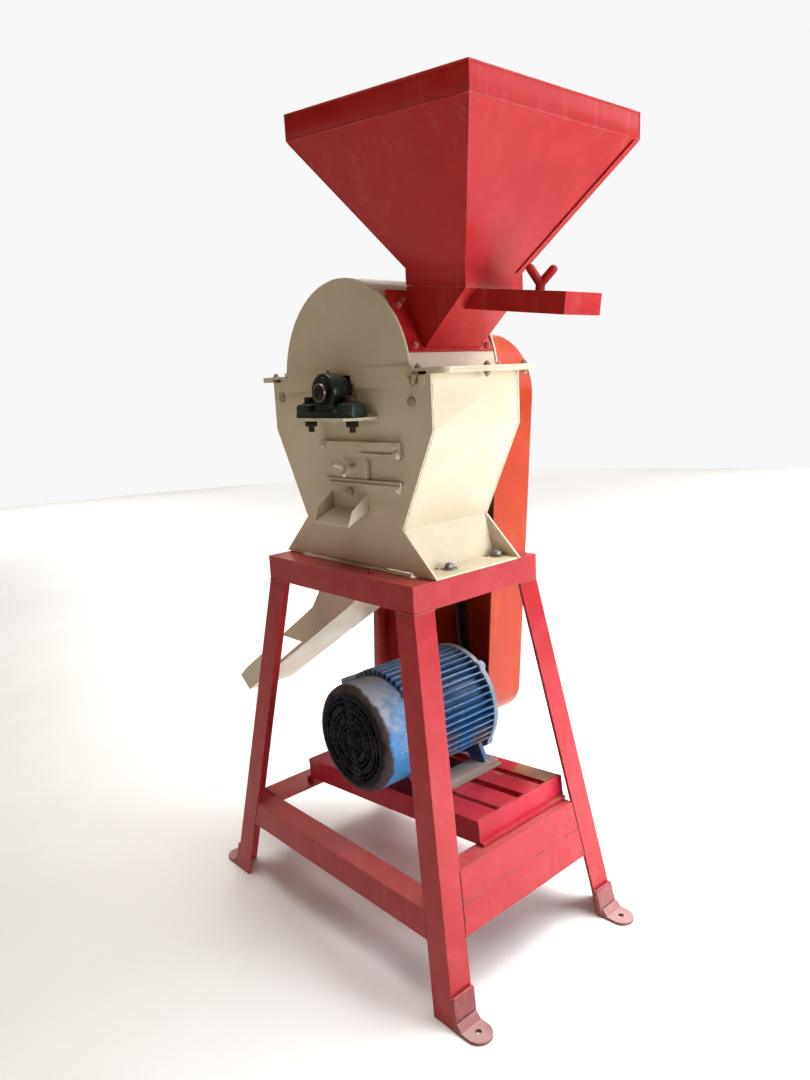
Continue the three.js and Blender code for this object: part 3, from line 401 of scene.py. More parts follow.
def weld_material(name, colour, deep):
    """A weld run under paint, darkened by painted shade and grime where it meets the plate."""
    g = Graph(name)
    tone = g.mix(g.cloud(40, 4, 0.35, 0.65), colour, deep)
    # Painted shade, partly grime: near black in the corners along the plate.
    tone = g.mix(g.times(g.crevices(0.01), 0.75), tone, (0.04, 0.015, 0.01))
    tone = g.mix(g.times(g.cloud(130, 3, 0.62, 0.68), 0.7), tone, RUST)
    ripples = g.bump(g.noise(260, 4), 0.0006, 0.5)
    return g.finish(tone, g.cloud(60, 3, 0.3, 0.7, 0.35, 0.55), 0.0, ripples, 0.2)


def rubber(name):
    """A V-belt: wrapped cloth over rubber, polished where it runs and chalky with dust."""
    g = Graph(name)
    warp = g.math("SINE", g.times(g.math("ADD", g.axis("X"), g.axis("Z")), 2600.0))
    weft = g.math("SINE", g.times(g.math("SUBTRACT", g.axis("X"), g.axis("Z")), 2600.0))
    weave = g.math("ADD", warp, weft)
    tone = g.mix(g.cloud(24, 4, 0.35, 0.7), (0.012, 0.012, 0.013), (0.045, 0.042, 0.04))
    tone = g.mix(g.times(g.cloud(9, 5, 0.48, 0.72), 0.35), tone, DUST)
    return g.finish(tone, g.cloud(18, 3, 0.3, 0.7, 0.5, 0.8), 0.0, g.bump(weave, 0.0002, 0.4))


def cast_iron(name):
    g = Graph(name)
    tone = g.mix(g.cloud(20, 5, 0.35, 0.7), (0.09, 0.088, 0.085), (0.035, 0.034, 0.033))
    bloom = g.times(g.cloud(30, 6, 0.5, 0.7, rough=0.7), 0.5)
    tone = g.mix(bloom, tone, RUST)
    metal = g.band(bloom, 0.0, 0.5, 0.7, 0.1)
    skin = g.bump(g.noise(210, 4, 0.6), 0.0006, 0.5)
    return g.finish(tone, g.cloud(40, 3, 0.3, 0.7, 0.45, 0.7), metal, skin)


def moulded(name):
    g = Graph(name)
    tone = g.mix(g.cloud(12, 4, 0.4, 0.7), (0.012, 0.012, 0.014), (0.05, 0.045, 0.04))
    tone = g.mix(g.times(g.cloud(60, 5, 0.45, 0.7), 0.3), tone, DUST)
    grain = g.bump(g.noise(320, 3), 0.0003, 0.25)
    return g.finish(tone, g.cloud(40, 3, 0.3, 0.7, 0.45, 0.65), 0.0, grain)


def sooty(name):
    """Oily dust caked on wire: dull black, brown where it is thick."""
    g = Graph(name)
    tone = g.mix(g.cloud(55, 5, 0.4, 0.7, rough=0.65), (0.006, 0.005, 0.008), (0.035, 0.026, 0.028))
    tone = g.mix(g.times(g.cloud(14, 4, 0.5, 0.72), 0.5), tone, (0.09, 0.06, 0.045))
    crust = g.bump(g.noise(280, 4), 0.0005, 0.4)
    return g.finish(tone, g.cloud(30, 3, 0.3, 0.7, 0.6, 0.8), 0.0, crust, specular=0.2)


def floor_material():
    g = Graph("floor")
    tone = g.mix(g.cloud(1.4, 4, 0.3, 0.7), (0.80, 0.79, 0.78), (0.83, 0.825, 0.815))
    return g.finish(tone, g.cloud(6, 3, 0.3, 0.7, 0.6, 0.7), 0.0, g.bump(g.noise(90, 3), 0.0004, 0.1))


def motor_paint(name, blue, deep, dust, dust_from, grille=False, brown=0.0, sole=False):
    """Blue enamel, grey with dust above dust_from, rubbed to primer in specks.

    grille blackens the cowl's fan end, brown burns the housing's flank and sole greys the feet's undersides.
    """
    g = Graph(name)
    centre = MACHINE @ (MOTOR @ Vector((0, 0, 0)))
    height = g.math("SUBTRACT", g.axis("Z"), centre.z)
    aside = g.math("SUBTRACT", g.axis("X"), centre.x)
    level = g.math("SUBTRACT", height, g.times(aside, DECK_SLOPE))
    tone = g.mix(g.cloud(7, 4, 0.35, 0.65), blue, deep)
    ragged = g.math("ADD", height, g.cloud(16, 6, 0.2, 0.8, -0.06, 0.06, rough=0.65))
    settled = g.times(g.band(ragged, dust_from, dust_from + 0.09), dust)
    film = g.times(g.cloud(28, 6, 0.46, 0.72, rough=0.7), 0.5 * dust)
    cover = g.either(settled, film)
    tone = g.mix(cover, tone, (0.40, 0.42, 0.45))
    # Painted shade: a deeper, darker blue in the corners between pieces.
    tone = g.mix(g.times(g.crevices(0.02), 0.6), tone, (0.008, 0.022, 0.06))
    edge = g.times(g.edges(0.0018), g.cloud(60, 4, 0.3, 0.55), 0.85)
    tone = g.mix(edge, tone, (0.40, 0.50, 0.60))
    specks = g.either(
        g.times(g.band(g.cells(95), 0.16, 0.11), g.cloud(13, 3, 0.46, 0.58)),
        g.times(g.cloud(85, 5, 0.62, 0.66, rough=0.7), g.cloud(10, 3, 0.48, 0.6)),
    )
    low_side = g.band(aside, -0.02, 0.08)
    tone = g.mix(g.times(specks, low_side, 0.85), tone, (0.62, 0.68, 0.72))
    if brown:
        flank = g.times(g.band(height, 0.03, -0.03), g.band(height, -0.11, -0.06))
        burnt = g.times(g.cloud(9, 5, 0.42, 0.6, rough=0.6), flank, brown)
        tone = g.mix(burnt, tone, (0.20, 0.12, 0.07))
    if sole:
        worn_sole = g.mix(g.noise(40, 5), (0.40, 0.34, 0.32), (0.25, 0.20, 0.19))
        tone = g.mix(g.band(level, -0.127, -0.133), tone, worn_sole)
    gloss = g.cloud(12, 4, 0.3, 0.7, SMOOTHEST_PAINT, 0.4)
    gloss = g.math("ADD", gloss, g.times(cover, 0.35))
    if grille:
        radius = g.distance(height, aside)
        face = (MACHINE @ Vector((0, COWL_END, 0))).y
        ragged_y = g.math("SUBTRACT", g.axis("Y"), g.cloud(22, 5, 0.2, 0.8, -0.009, 0.009))
        near = g.band(ragged_y, face + 0.022, face + 0.012)
        ragged_radius = g.math("ADD", radius, g.cloud(22, 5, 0.2, 0.8, -0.008, 0.008))
        rim = g.times(near, 0.96)
        black = g.times(near, g.band(ragged_radius, 0.124, 0.112))
        oily_dust = g.mix(g.noise(30, 5), (0.022, 0.014, 0.011), (0.095, 0.062, 0.045))
        soot = g.mix(g.noise(40, 5), (0.003, 0.003, 0.006), (0.012, 0.009, 0.015))
        tone = g.mix(rim, tone, oily_dust)
        tone = g.mix(black, tone, soot)
        gloss = g.either(gloss, g.times(rim, 0.72))
    skin = g.bump(g.noise(240, 3), 0.0004, 0.3)
    skin = g.bump(g.math("SUBTRACT", 1.0, specks), 0.0003, 0.4, skin)
    return g.finish(tone, gloss, 0.0, skin, 0.04 if grille else 0.2, 0.2, 0.22 if grille else 0.45)


paint("stand_paint", colour=(0.42, 0.024, 0.032), deep=(0.36, 0.016, 0.022), faded=(0.52, 0.065, 0.075),
      coat=0.15, dust=0.4, dust_colour=(0.40, 0.15, 0.13), worn=(0.66, 0.27, 0.26), chips=0.5,
      streaks=0.2, shade_and_grime=0.22, specular=0.22)
paint("deck_paint", colour=(0.50, 0.012, 0.040), deep=(0.38, 0.008, 0.026), faded=(0.58, 0.07, 0.10),
      dust=0.14, dust_colour=(0.42, 0.14, 0.13), worn=(0.66, 0.25, 0.24), chips=0.6, shade_and_grime=0.45,
      bare=True, coat=0.12, specular=0.18)
paint("foot_paint", colour=(0.33, 0.11, 0.11), deep=(0.22, 0.045, 0.05), faded=(0.40, 0.25, 0.24),
      rough=0.5, coat=0.0, dust=0.75, dust_colour=(0.42, 0.29, 0.28), wear=0.8, chips=0.9, shade_and_grime=0.5)
paint("hopper_paint", colour=(0.43, 0.011, 0.014), deep=(0.37, 0.007, 0.009), faded=(0.54, 0.035, 0.032),
      rough=0.36, coat=0.06, dust=0.16, dust_colour=(0.50, 0.22, 0.16), worn=(0.66, 0.28, 0.26),
      chips=0.35, shade_and_grime=0.18)
paint("guard_paint", colour=(0.44, 0.042, 0.010), deep=(0.39, 0.032, 0.008), faded=(0.56, 0.085, 0.035),
      coat=0.1, dust=0.18, dust_colour=(0.52, 0.26, 0.16), worn=(0.7, 0.3, 0.22), chips=0.3, shade_and_grime=0.25,
      specular=0.18)
paint("casing_paint", colour=(0.655, 0.575, 0.435), deep=(0.605, 0.515, 0.37), faded=(0.70, 0.665, 0.58),
      rough=0.36, coat=0.15, dust=0.2, dust_colour=(0.50, 0.41, 0.26), worn=(0.82, 0.79, 0.70), chips=0.4,
      chip=(0.12, 0.08, 0.045), streaks=0.3, shade_and_grime=0.5, shade_and_grime_colour=(0.20, 0.14, 0.055))
paint("painted_bolt", colour=(0.40, 0.33, 0.22), deep=(0.20, 0.15, 0.09), faded=(0.56, 0.51, 0.42),
      rough=0.42, dust=0.4, worn=(0.34, 0.32, 0.30), wear=0.9, chips=0.9, chip=(0.10, 0.05, 0.025),
      shade_and_grime=0.8, shade_and_grime_colour=(0.09, 0.06, 0.03))
paint("red_bolt", colour=(0.50, 0.08, 0.09), deep=(0.34, 0.02, 0.03), faded=(0.60, 0.30, 0.30),
      rough=0.42, dust=0.4, worn=(0.55, 0.42, 0.40), wear=0.9, chips=0.9, shade_and_grime=0.6)
paint("bearing_paint", colour=(0.018, 0.034, 0.030), deep=(0.008, 0.016, 0.013),
      faded=(0.06, 0.085, 0.075), rough=0.34, dust=0.35, dust_colour=(0.12, 0.11, 0.09),
      worn=(0.12, 0.13, 0.12), chips=0.6, shade_and_grime=0.5, shade_and_grime_colour=(0.006, 0.006, 0.005))
paint("packing_paint", colour=(0.34, 0.26, 0.23), deep=(0.24, 0.16, 0.14), faded=(0.44, 0.38, 0.35),
      rough=0.55, coat=0.0, dust=0.6, chips=0.7, streaks=0.2)
motor_paint("motor_paint", (0.030, 0.17, 0.42), (0.018, 0.10, 0.29), 0.35, 0.07, brown=0.8, sole=True)
motor_paint("cowl_paint", (0.055, 0.235, 0.50), (0.025, 0.14, 0.36), 0.85, 0.03, grille=True)
motor_paint("shield_paint", (0.12, 0.29, 0.47), (0.06, 0.19, 0.38), 0.7, -0.02)
steel("shaft_steel", (0.20, 0.14, 0.13), (0.06, 0.04, 0.035), 0.36,
      ((MACHINE @ Vector((0, 0, 0))).x, SHAFT_Z / 1000), rust=0.35)
steel("bare_steel", (0.48, 0.46, 0.44), (0.26, 0.24, 0.23), 0.32, rust=0.3)
steel("rotor_steel", (0.30, 0.28, 0.26), (0.14, 0.12, 0.11), 0.42, rust=0.5, dust=0.5)
cast_iron("pulley_iron")
moulded("fan_plastic")
rubber("belt_rubber")
zinc("fastener_zinc")
steel("black_bolt", (0.05, 0.042, 0.034), (0.02, 0.016, 0.013), 0.45, rust=0.5, dust=0.25)
sooty("soot_black")
weld_material("red_weld", (0.40, 0.014, 0.022), (0.24, 0.006, 0.010))
weld_material("cream_weld", (0.70, 0.62, 0.47), (0.55, 0.46, 0.31))

OWN_LOOK = {
    "motor_deck": "deck_paint",
    "motor_fan_cowl": "cowl_paint",
    "motor_drive_shield": "shield_paint",
    "mill_shaft": "shaft_steel",
}


# ---- CAD nodes: softened edges and their materials ---------------------------------------------


def soften_edges(thing, width, least):
    """Bevels, by width in metres, the edges that turn more than least degrees."""
    bevel = thing.modifiers.new("soft_edges", "BEVEL")
    bevel.width = width
    bevel.segments = 2
    bevel.limit_method = "ANGLE"
    bevel.angle_limit = math.radians(least)
    return bevel


def geometry_group(name, build):
    group = bpy.data.node_groups.new(name, "GeometryNodeTree")
    group.interface.new_socket("Geometry", in_out="INPUT", socket_type="NodeSocketGeometry")
    group.interface.new_socket("Geometry", in_out="OUTPUT", socket_type="NodeSocketGeometry")
    start = group.nodes.new("NodeGroupInput")
    end = group.nodes.new("NodeGroupOutput")
    group.links.new(build(group, start.outputs[0]), end.inputs[0])
    return group


def weld_vertices(group, mesh):
    """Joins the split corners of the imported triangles, so that edges can be told from faces."""
    drop = group.nodes.new("GeometryNodeRemoveAttribute")
    drop.inputs["Name"].default_value = "custom_normal"
    merge = group.nodes.new("GeometryNodeMergeByDistance")
    merge.inputs["Distance"].default_value = 0.00002
    group.links.new(mesh, drop.inputs["Geometry"])
    group.links.new(drop.outputs[0], merge.inputs["Geometry"])
    return merge.outputs[0]


def smooth_gentle_edges(group, mesh):
    """Shades across every edge that turns less than GENTLE degrees."""
    angle = group.nodes.new("GeometryNodeInputMeshEdgeAngle")
    sharp = group.nodes.new("FunctionNodeCompare")
    sharp.operation = "LESS_THAN"
    sharp.inputs["B"].default_value = math.radians(GENTLE)
    edges = group.nodes.new("GeometryNodeSetShadeSmooth")
    edges.domain = "EDGE"
    faces = group.nodes.new("GeometryNodeSetShadeSmooth")
    faces.domain = "FACE"
    group.links.new(angle.outputs["Unsigned Angle"], sharp.inputs["A"])
    group.links.new(mesh, faces.inputs["Geometry"])
    group.links.new(faces.outputs[0], edges.inputs["Geometry"])
    group.links.new(sharp.outputs["Result"], edges.inputs["Shade Smooth"])
    return edges.outputs[0]


BEVELS = {"motor_housing": 0.0007, "hopper": 0.0011, "feed_throat": 0.0009, "casing_lower": 0.0009,
          "casing_upper": 0.0009, "discharge_chute": 0.0009, "sample_spout": 0.0009, "motor_fan_cowl": 0.0006,
          "belt_guard": 0.0009, "screen": 0.0005, "top_frame": 0.0016, "motor_deck": 0.0014}


def dress_nodes():
    weld = geometry_group("weld_vertices", weld_vertices)
    smooth = geometry_group("smooth_gentle_edges", smooth_gentle_edges)
    slots = {part["node"]: part["material_slot"] for part in frame["record"]["subparts"]}
    for name, node in frame["nodes"].items():
        look = materials[OWN_LOOK.get(name, slots[name])]
        node.data.materials.clear()
        node.data.materials.append(look)
        node.modifiers.new("weld", "NODES").node_group = weld
        soften_edges(node, BEVELS.get(name, 0.0012), 40)
        node.modifiers.new("smooth", "NODES").node_group = smooth
        node.modifiers.new("flat_faces", "WEIGHTED_NORMAL").keep_sharp = True


# ---- Piece making ------------------------------------------------------------------------------


def circle(radius, z, sides=32, turn=0.0, x=0.0, y=0.0):
    steps = [turn + 2 * math.pi * i / sides for i in range(sides)]
    return [(x + radius * math.cos(a), y + radius * math.sin(a), z) for a in steps]


def along(origin, axis, side=(0, 0, 1)):
    """Local x, y and z at origin, with z along axis."""
    z = Vector(axis).normalized()
    x = Vector(side).cross(z)
    if x.length < 1e-3:
        x = Vector((1, 0, 0))
        x = x - z * x.dot(z)
    x.normalize()
    place = Matrix((x, z.cross(x), z)).transposed().to_4x4()
    place.translation = Vector(origin)
    return place


class Piece:
    """Gathers closed solids, drawn in machine millimetres, into one named piece."""

    def __init__(self):
        self.mesh = bmesh.new()

    def skin(self, rings, place=Matrix(), ring_shaped=False):
        """A closed skin through equal rings of points, capped at both ends unless it is ring-shaped."""
        rows = [[self.mesh.verts.new(place @ Vector(p)) for p in ring] for ring in rings]
        pairs = list(zip(rows, rows[1:]))
        if ring_shaped:
            pairs.append((rows[-1], rows[0]))
        count = len(rows[0])
        for lower, upper in pairs:
            for i in range(count):
                j = (i + 1) % count
                self.mesh.faces.new((lower[i], lower[j], upper[j], upper[i]))
        if not ring_shaped:
            self.mesh.faces.new(reversed(rows[0]))
            self.mesh.faces.new(rows[-1])

    def turned(self, profile, place=Matrix(), sides=40):
        """A solid turned about z: the profile lists radius and height."""
        self.skin([circle(r, z, sides) for r, z in profile], place)

    def collar(self, profile, place=Matrix(), sides=40):
        """A turned ring: the profile closes on itself."""
        self.skin([circle(r, z, sides) for r, z in profile], place, ring_shaped=True)

    def slab(self, x0, x1, y0, y1, z0, z1, place=Matrix()):
        ring = [(x0, y0), (x1, y0), (x1, y1), (x0, y1)]
        self.skin([[(x, y, z) for x, y in ring] for z in (z0, z1)], place)

    def tube(self, path, radius, sides=10):
        """A rod through the points, round at both ends. radius may depend on the point's number."""
        size = radius if callable(radius) else lambda i: radius
        points = [Vector(p) for p in path]
        rings = []
        side = None
        for i, point in enumerate(points):
            heading = (points[min(i + 1, len(points) - 1)] - points[max(i - 1, 0)]).normalized()
            if side is None:
                side = heading.orthogonal().normalized()
            side = (side - heading * side.dot(heading)).normalized()
            other = heading.cross(side)
            scales = [(-0.8, 0.45), (-0.45, 0.85), (0, 1)] if i == 0 else [(0, 1)]
            if i == len(points) - 1:
                scales = [(0, 1), (0.45, 0.85), (0.8, 0.45)]
            for forward, wide in scales:
                r = size(i) * wide
                middle = point + heading * size(i) * forward
                angles = [2 * math.pi * k / sides for k in range(sides)]
                rings.append([middle + side * r * math.cos(a) + other * r * math.sin(a) for a in angles])
        self.skin(rings)

    def bead(self, start, end, radius=2.6):
        """A weld run: a row of overlapping ripples."""
        start, end = Vector(start), Vector(end)
        count = max(4, int((end - start).length / 2.2))
        path = [start.lerp(end, i / count) for i in range(count + 1)]
        self.tube(path, lambda i: radius * (1 + 0.16 * math.sin(i * 2.3) + 0.07 * math.sin(i * 0.71)), 8)

    def bolt(self, origin, axis, flats=19, head=9, washer=15, stud=4, turn=0.3):
        """A chamfered hexagon on a washer, with the end of its stud."""
        place = along(origin, axis)
        if washer:
            self.turned([(washer - 0.7, 0), (washer, 0.6), (washer, 1.9), (washer - 0.7, 2.5)], place, 28)
        base = 2.5 if washer else 0
        across = flats / math.sqrt(3)
        outline = [(0.97, 0), (1, 0.6), (1, head - 1.6), (0.9, head)]
        self.skin([circle(across * s, base + z, 6, turn) for s, z in outline], place)
        if stud:
            r = flats * 0.28
            top = base + head
            self.turned([(r, top - 1), (r, top + stud - 1.2), (r - 1.2, top + stud)], place, 20)

    def finish(self, name, look, body="stand", slot=None, soften=0.0):
        """Makes the named object, with its look, the body it rides on and its edges softened in mm."""
        bmesh.ops.recalc_face_normals(self.mesh, faces=self.mesh.faces)
        self.mesh.transform(MACHINE)
        mesh = bpy.data.meshes.new(name)
        self.mesh.to_mesh(mesh)
        self.mesh.free()
        mesh.materials.append(materials[look])
        for polygon in mesh.polygons:
            polygon.use_smooth = True
        mesh.set_sharp_from_angle(angle=math.radians(GENTLE))
        piece = bpy.data.objects.new(name, mesh)
        bpy.context.scene.collection.objects.link(piece)
        if soften:
            soften_edges(piece, soften / 1000, 35).harden_normals = True
        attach(piece, body)
        return piece


# ---- Pieces of the casing ------------------------------------------------------------------------


def casing_fasteners():
    """Flange bolts and plugs, the bolts that hold the casing down, and drops of weld beside them."""
    up, down = (0, 0, 1), (0, 0, -1)
    flange_spots = [(304, 128), (304, 8), (-296, -118), (-304, 8), (-304, 128)]
    flange = Piece()
    for x, y in [(240, -131)] + flange_spots:
        flange.bolt((x, y, FLANGE_TOP + 0.2), up, 11, 4.5, 8, 2.5, 0.2 + x * 0.01)
    for x, y in flange_spots:
        flange.bolt((x, y, FLANGE_BOTTOM), down, 11, 5.5, 8, 3, 0.5 + y * 0.01)
    for side in (-1, 1):
        for x, z in [(-246, 1290), (224, 1274)]:
            face = along((x, side * (0.1 - CASE_FRONT), z), (0, side, 0))
            flange.turned([(9, 0), (11, 1.2), (11, 3.5), (8, 5.5), (3, 6.5)], face, 28)
    lug = [(232, -154, 1328.6), (249, -154, 1328.6), (249, -139.4, 1328.6), (232, -139.4, 1328.6)]
    flange.skin([[(x, y, z - drop) for x, y, z in lug] for drop in (6, 0)])
    flange.bolt((240.5, -147, 1322.4), down, 12, 9, 8.5, 6, 0.2)
    flange.finish("flange_bolts", "painted_bolt", slot="casing_paint", soften=0.4)
    base = Piece()
    for x, y in [(214, -48), (210, 113), (-214, -48), (-210, 113)]:
        base.bolt((x + math.copysign(12, x), y, 904.5), up, 21, 9, 18, 3, 0.1 + y * 0.02)
    base.finish("base_bolts", "fastener_zinc", slot="bare_steel", soften=0.4)
    blobs = Piece()
    for x, y, r in [(196, -66, 4.5), (206, -62, 3.2), (190, 90, 4.8), (199, 94, 3.4),
                    (-198, -62, 4.2), (-192, 92, 4.4)]:
        dome = [(r, 0), (r * 0.95, r * 0.35), (r * 0.6, r * 0.62), (r * 0.15, r * 0.75)]
        blobs.turned(dome, along((x + math.copysign(8, x), y, 904.4), up), 14)
    blobs.finish("weld_drops", "painted_bolt", slot="casing_paint")


def inlet_bolts():
    """Bolts through the throat's sloping flange, two on each side."""
    start = Vector((153.5, 0, 1481))
    down = Vector((0.4723, 0, -0.8814))
    outward = Vector((0.8814, 0, 0.4723))
    bolts = Piece()
    for distance in (14, 110):
        for y in (-110, 110):
            spot = start + down * distance + outward * 7.6
            bolts.bolt((spot.x, y, spot.z), outward, 11, 5, 8.5, 2)
    bolts.finish("inlet_bolts", "red_bolt", slot="hopper_paint", soften=0.4)


def casing_trim():
    """Strips of plate and studs welded to the front of the casing."""
    trim = Piece()
    face = CASE_FRONT
    trim.slab(-84, 188, face - 12, face - 8.7, 1170, 1189.5)
    trim.slab(58, 182, face - 13, face - 9, 1161, 1165)
    trim.slab(-62, 186, face - 14, face - 8.7, 1092, 1096)
    trim.slab(-198, 198, face - 8, face - 0.2, TOP_OF_FRAME + 0.4, TOP_OF_FRAME + 3.6)
    for x0, x1 in [(-268, -40), (40, 268)]:
        trim.slab(x0, x1, face - 3.4, face - 0.2, 1305, 1328.4)
    trim.finish("casing_strips", "casing_paint", soften=0.8)
    studs = Piece()
    forward = (0, -1, 0)
    for x, z, r in [(-72, 1180, 6.5), (174, 1180, 6.5), (50, 1180, 2.6), (181, 1088, 6.5),
                    (-50, 1088, 3.5)]:
        place = along((x, face - 11.8, z), forward)
        studs.turned([(r, 0), (r + 1.4, 0.8), (r + 1.4, 2.2), (r * 0.7, 3.8)], place, 24)
        if r > 5:
            studs.turned([(r * 0.45, 3), (r * 0.45, 7), (r * 0.25, 7.6)], place, 16)
    studs.turned([(6.5, -2), (7.5, 0), (7.5, 9), (6.2, 10.5)], along((183, face - 10, 1163), forward), 28)
    studs.finish("casing_studs", "casing_paint", soften=0.3)


def casing_welds():
    """Weld runs at the shelves, the spout, the base and every corner of the casing."""
    beads = Piece()
    face = CASE_FRONT
    beads.bead((-112, -face + 1, 1238), (112, -face + 1, 1238), 3)
    front_runs = [(-112, 1238, 112, 1238, 3), (-112, 1246, 112, 1246, 2.6), (-68, 1033, -68, 1068, 2.2),
                  (62, 1033, 62, 1068, 2.2), (-66, 1032, 60, 1032, 2.2), (-196, 904.6, 196, 904.6, 1.9)]
    for x0, z0, x1, z1, r in front_runs:
        beads.bead((x0, face - 1, z0), (x1, face - 1, z1), r)
    beads.tube([(-222, face - 1, 1342), (222, face - 1, 1342)], 1.6)
    for side in (-1, 1):
        for y in (-133, 133):
            beads.bead((side * 281.5, y * 0.985, 1216), (side * 281.5, y * 0.985, 1326), 2.0)
            beads.bead((side * 280.5, y * 0.985, 1213), (side * 175.5, y * 0.985, 1002), 2.0)
            beads.bead((side * 177, y * 0.985, 998), (side * 203, y * 0.985, 906), 2.4)
    for y in (face - 0.5, -face + 0.5):
        arc = [math.radians(a) for a in range(44, 180, 2)]
        for a, b in zip(arc, arc[1:]):
            beads.bead((221 * math.cos(a), y * 0.992, 1322 + 221 * math.sin(a)),
                       (221 * math.cos(b), y * 0.992, 1322 + 221 * math.sin(b)), 1.5)
    beads.finish("casing_welds", "cream_weld", slot="casing_paint")


def spout_wing_nut():
    """A nut with two short wings above the sample spout."""
    x, z = 4, 1074
    nut = Piece()
    place = along((x, CASE_FRONT - 0.2, z), (0, -1, 0))
    nut.turned([(9, 0), (9, 5), (7, 9), (6, 12)], place, 24)
    nut.turned([(3.5, 11), (3.5, 18), (2.4, 19)], place, 16)
    for side in (-1, 1):
        steps = [(5, 7, 0), (12, 11, 3), (17, 16, 8)]
        path = [(x + side * out, CASE_FRONT - forward, z - drop) for out, forward, drop in steps]
        nut.tube(path, lambda i: 3.6 - 0.4 * i, 10)
    nut.finish("spout_wing_nut", "casing_paint", soften=0.3)


# ---- Bearings ------------------------------------------------------------------------------------


def rounded_box(half_x, half_y, corner, z):
    points = []
    for sx, sy, first in [(1, 1, 0), (-1, 1, 90), (-1, -1, 180), (1, -1, 270)]:
        for step in range(6):
            a = math.radians(first + step * 18)
            points.append((sx * (half_x - corner) + corner * math.cos(a),
                           sy * (half_y - corner) + corner * math.sin(a), z))
    return points


def pillow_block(name, node, outward):
    """A cast housing on two bolted feet, its insert and the collar behind it. outward is the sign of y."""
    lowest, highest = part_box(node)
    y = ((lowest.y + highest.y) / 2 - MACHINE.translation.y) * 1000
    seat = Matrix.Translation((0, y, SHELF_TOP + 0.4))
    axle = along((0, y, SHAFT_Z), (0, outward, 0))
    rise = SHAFT_Z - SHELF_TOP
    body = Piece()
    body.skin([rounded_box(x, d, c, z) for x, d, c, z in
               [(101.5, 25.5, 12, 0), (102.8, 26.8, 12, 1.2), (102.8, 26.8, 12, 9), (100, 24.5, 11, 12.5)]],
              seat)
    for side in (-1, 1):
        boss = seat @ Matrix.Translation((side * 76, 0, 0))
        body.skin([rounded_box(x, d, 13, z) for x, d, z in
                   [(26.3, 26, 6), (26, 25.6, 24), (24.6, 24.2, 28.5), (22, 21.6, 30.5)]], boss)
    body.skin([rounded_box(x, d, 8, z) for x, d, z in
               [(50, 21, 8), (40, 19, 17), (35, 17, 30), (33, 16.5, rise)]], seat)
    body.collar([(22.6, -15), (30, -15), (31.5, -17.5), (37, -19), (41, -17.6), (43, -12), (43, 12),
                 (41, 17.6), (37, 19), (31.5, 17.5), (30, 15), (22.6, 15)], axle, 72)
    nipple = seat @ Matrix.Translation((0, 0, rise + 42.5))
    body.turned([(4.5, -1.5), (4.5, 1.5), (2.6, 2.2), (2.6, 4.6), (1.6, 5.2)], nipple, 16)
    block = body.finish(name, "bearing_paint", soften=0.8)
    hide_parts(node)
    insert = Piece()
    insert.collar([(21.5, -20), (26.5, -20), (27, -19), (27, 19.5), (25.6, 20.8), (24.6, 19.4),
                   (21.5, 19.4)], axle, 56)
    insert.finish(f"{name}_insert", "black_bolt", slot="bare_steel", soften=0.3)
    bolts = Piece()
    for side in (-1, 1):
        bolts.bolt((side * 76, y, SHELF_TOP + 31), (0, 0, 1), 24, 13, 18, 0, 0.4)
        bolts.bolt((side * 76, y, SHELF_TOP - 6.2), (0, 0, -1), 24, 12, 17, 12, 0.2)
    bolts.finish(f"{name}_bolts", "black_bolt", slot="bare_steel", soften=0.5)
    collar = Piece()
    back = along((0, y, SHAFT_Z), (0, -outward, 0))
    collar.collar([(21.6, 19.4), (34, 19.4), (35.5, 21), (35.5, 33), (34, 34.5), (21.6, 34.5)], back, 48)
    collar.bolt(Vector((0, y - outward * 27, SHAFT_Z)) + Vector((25, 0, 25)), (1, 0, 1), 9, 4, 0, 0)
    collar.finish(f"{name}_seal", "bearing_paint", soften=0.5)


def shaft_end():
    """Turned rings on the shaft's end face, round its centre hole, and a bright rim."""
    end = (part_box("mill_shaft")[0].y - MACHINE.translation.y) * 1000
    face = along((0, end, SHAFT_Z), (0, -1, 0))
    rings = Piece()
    for r in (15.4, 10.6, 5.8):
        rings.collar([(r - 1.3, -0.4), (r - 1.0, 0.8), (r + 0.8, 0.8), (r + 1.2, -0.4)], face, 48)
    rings.turned([(2.4, -0.4), (2.4, 0.6), (1.6, 0.9)], face, 24)
    rings.finish("shaft_end_rings", "soot_black", body="rotor", slot="bare_steel")
    rim = Piece()
    rim.collar([(18.2, -0.4), (18.6, 0.9), (20.2, 0.9), (20.6, -0.4)], face, 48)
    rim.finish("shaft_end_rim", "bare_steel", body="rotor")


# ---- Stand ---------------------------------------------------------------------------------------


def stand_welds():
    """Weld runs where the legs meet the frame, the feet and the rails."""
    beads = Piece()
    for sx in (-1, 1):
        for sy in (-1, 1):
            beads.bead((sx * 211, sy * 199.6, 840), (sx * 267, sy * 199.6, 840), 2.4)
            beads.bead((sx * 269.2, sy * 197, 840), (sx * 269.2, sy * 141, 840), 2.4)
            x, y = leg_x(66) + 6, leg_y(66)
            beads.bead((sx * x, sy * (y - 3), 67), (sx * x, sy * (y - 57), 67), 3.4)
            ends = [(sx * (leg_x(z) - ANGLE_WIDTH), sy * leg_y(z), z) for z in (160, 218)]
            beads.bead(*ends, 2.4)
            for heights in [(164, 229), (235, 296)] if sx > 0 else [(160, 218)]:
                ends = [(sx * leg_x(z), sy * (leg_y(z) - ANGLE_WIDTH), z) for z in heights]
                beads.bead(*ends, 2.4)
    x = leg_x(232)
    for y0, y1 in [(-196, -150), (-75, -30), (40, 85), (150, 196)]:
        beads.bead((x + 0.2, y0, 232), (x + 0.2, y1, 232), 2.0)
    beads.bead((leg_x(297) - 40, -180, 299.2), (leg_x(297) - 40, 176, 299.2), 2.2)
    beads.finish("stand_welds", "red_weld", slot="stand_paint")


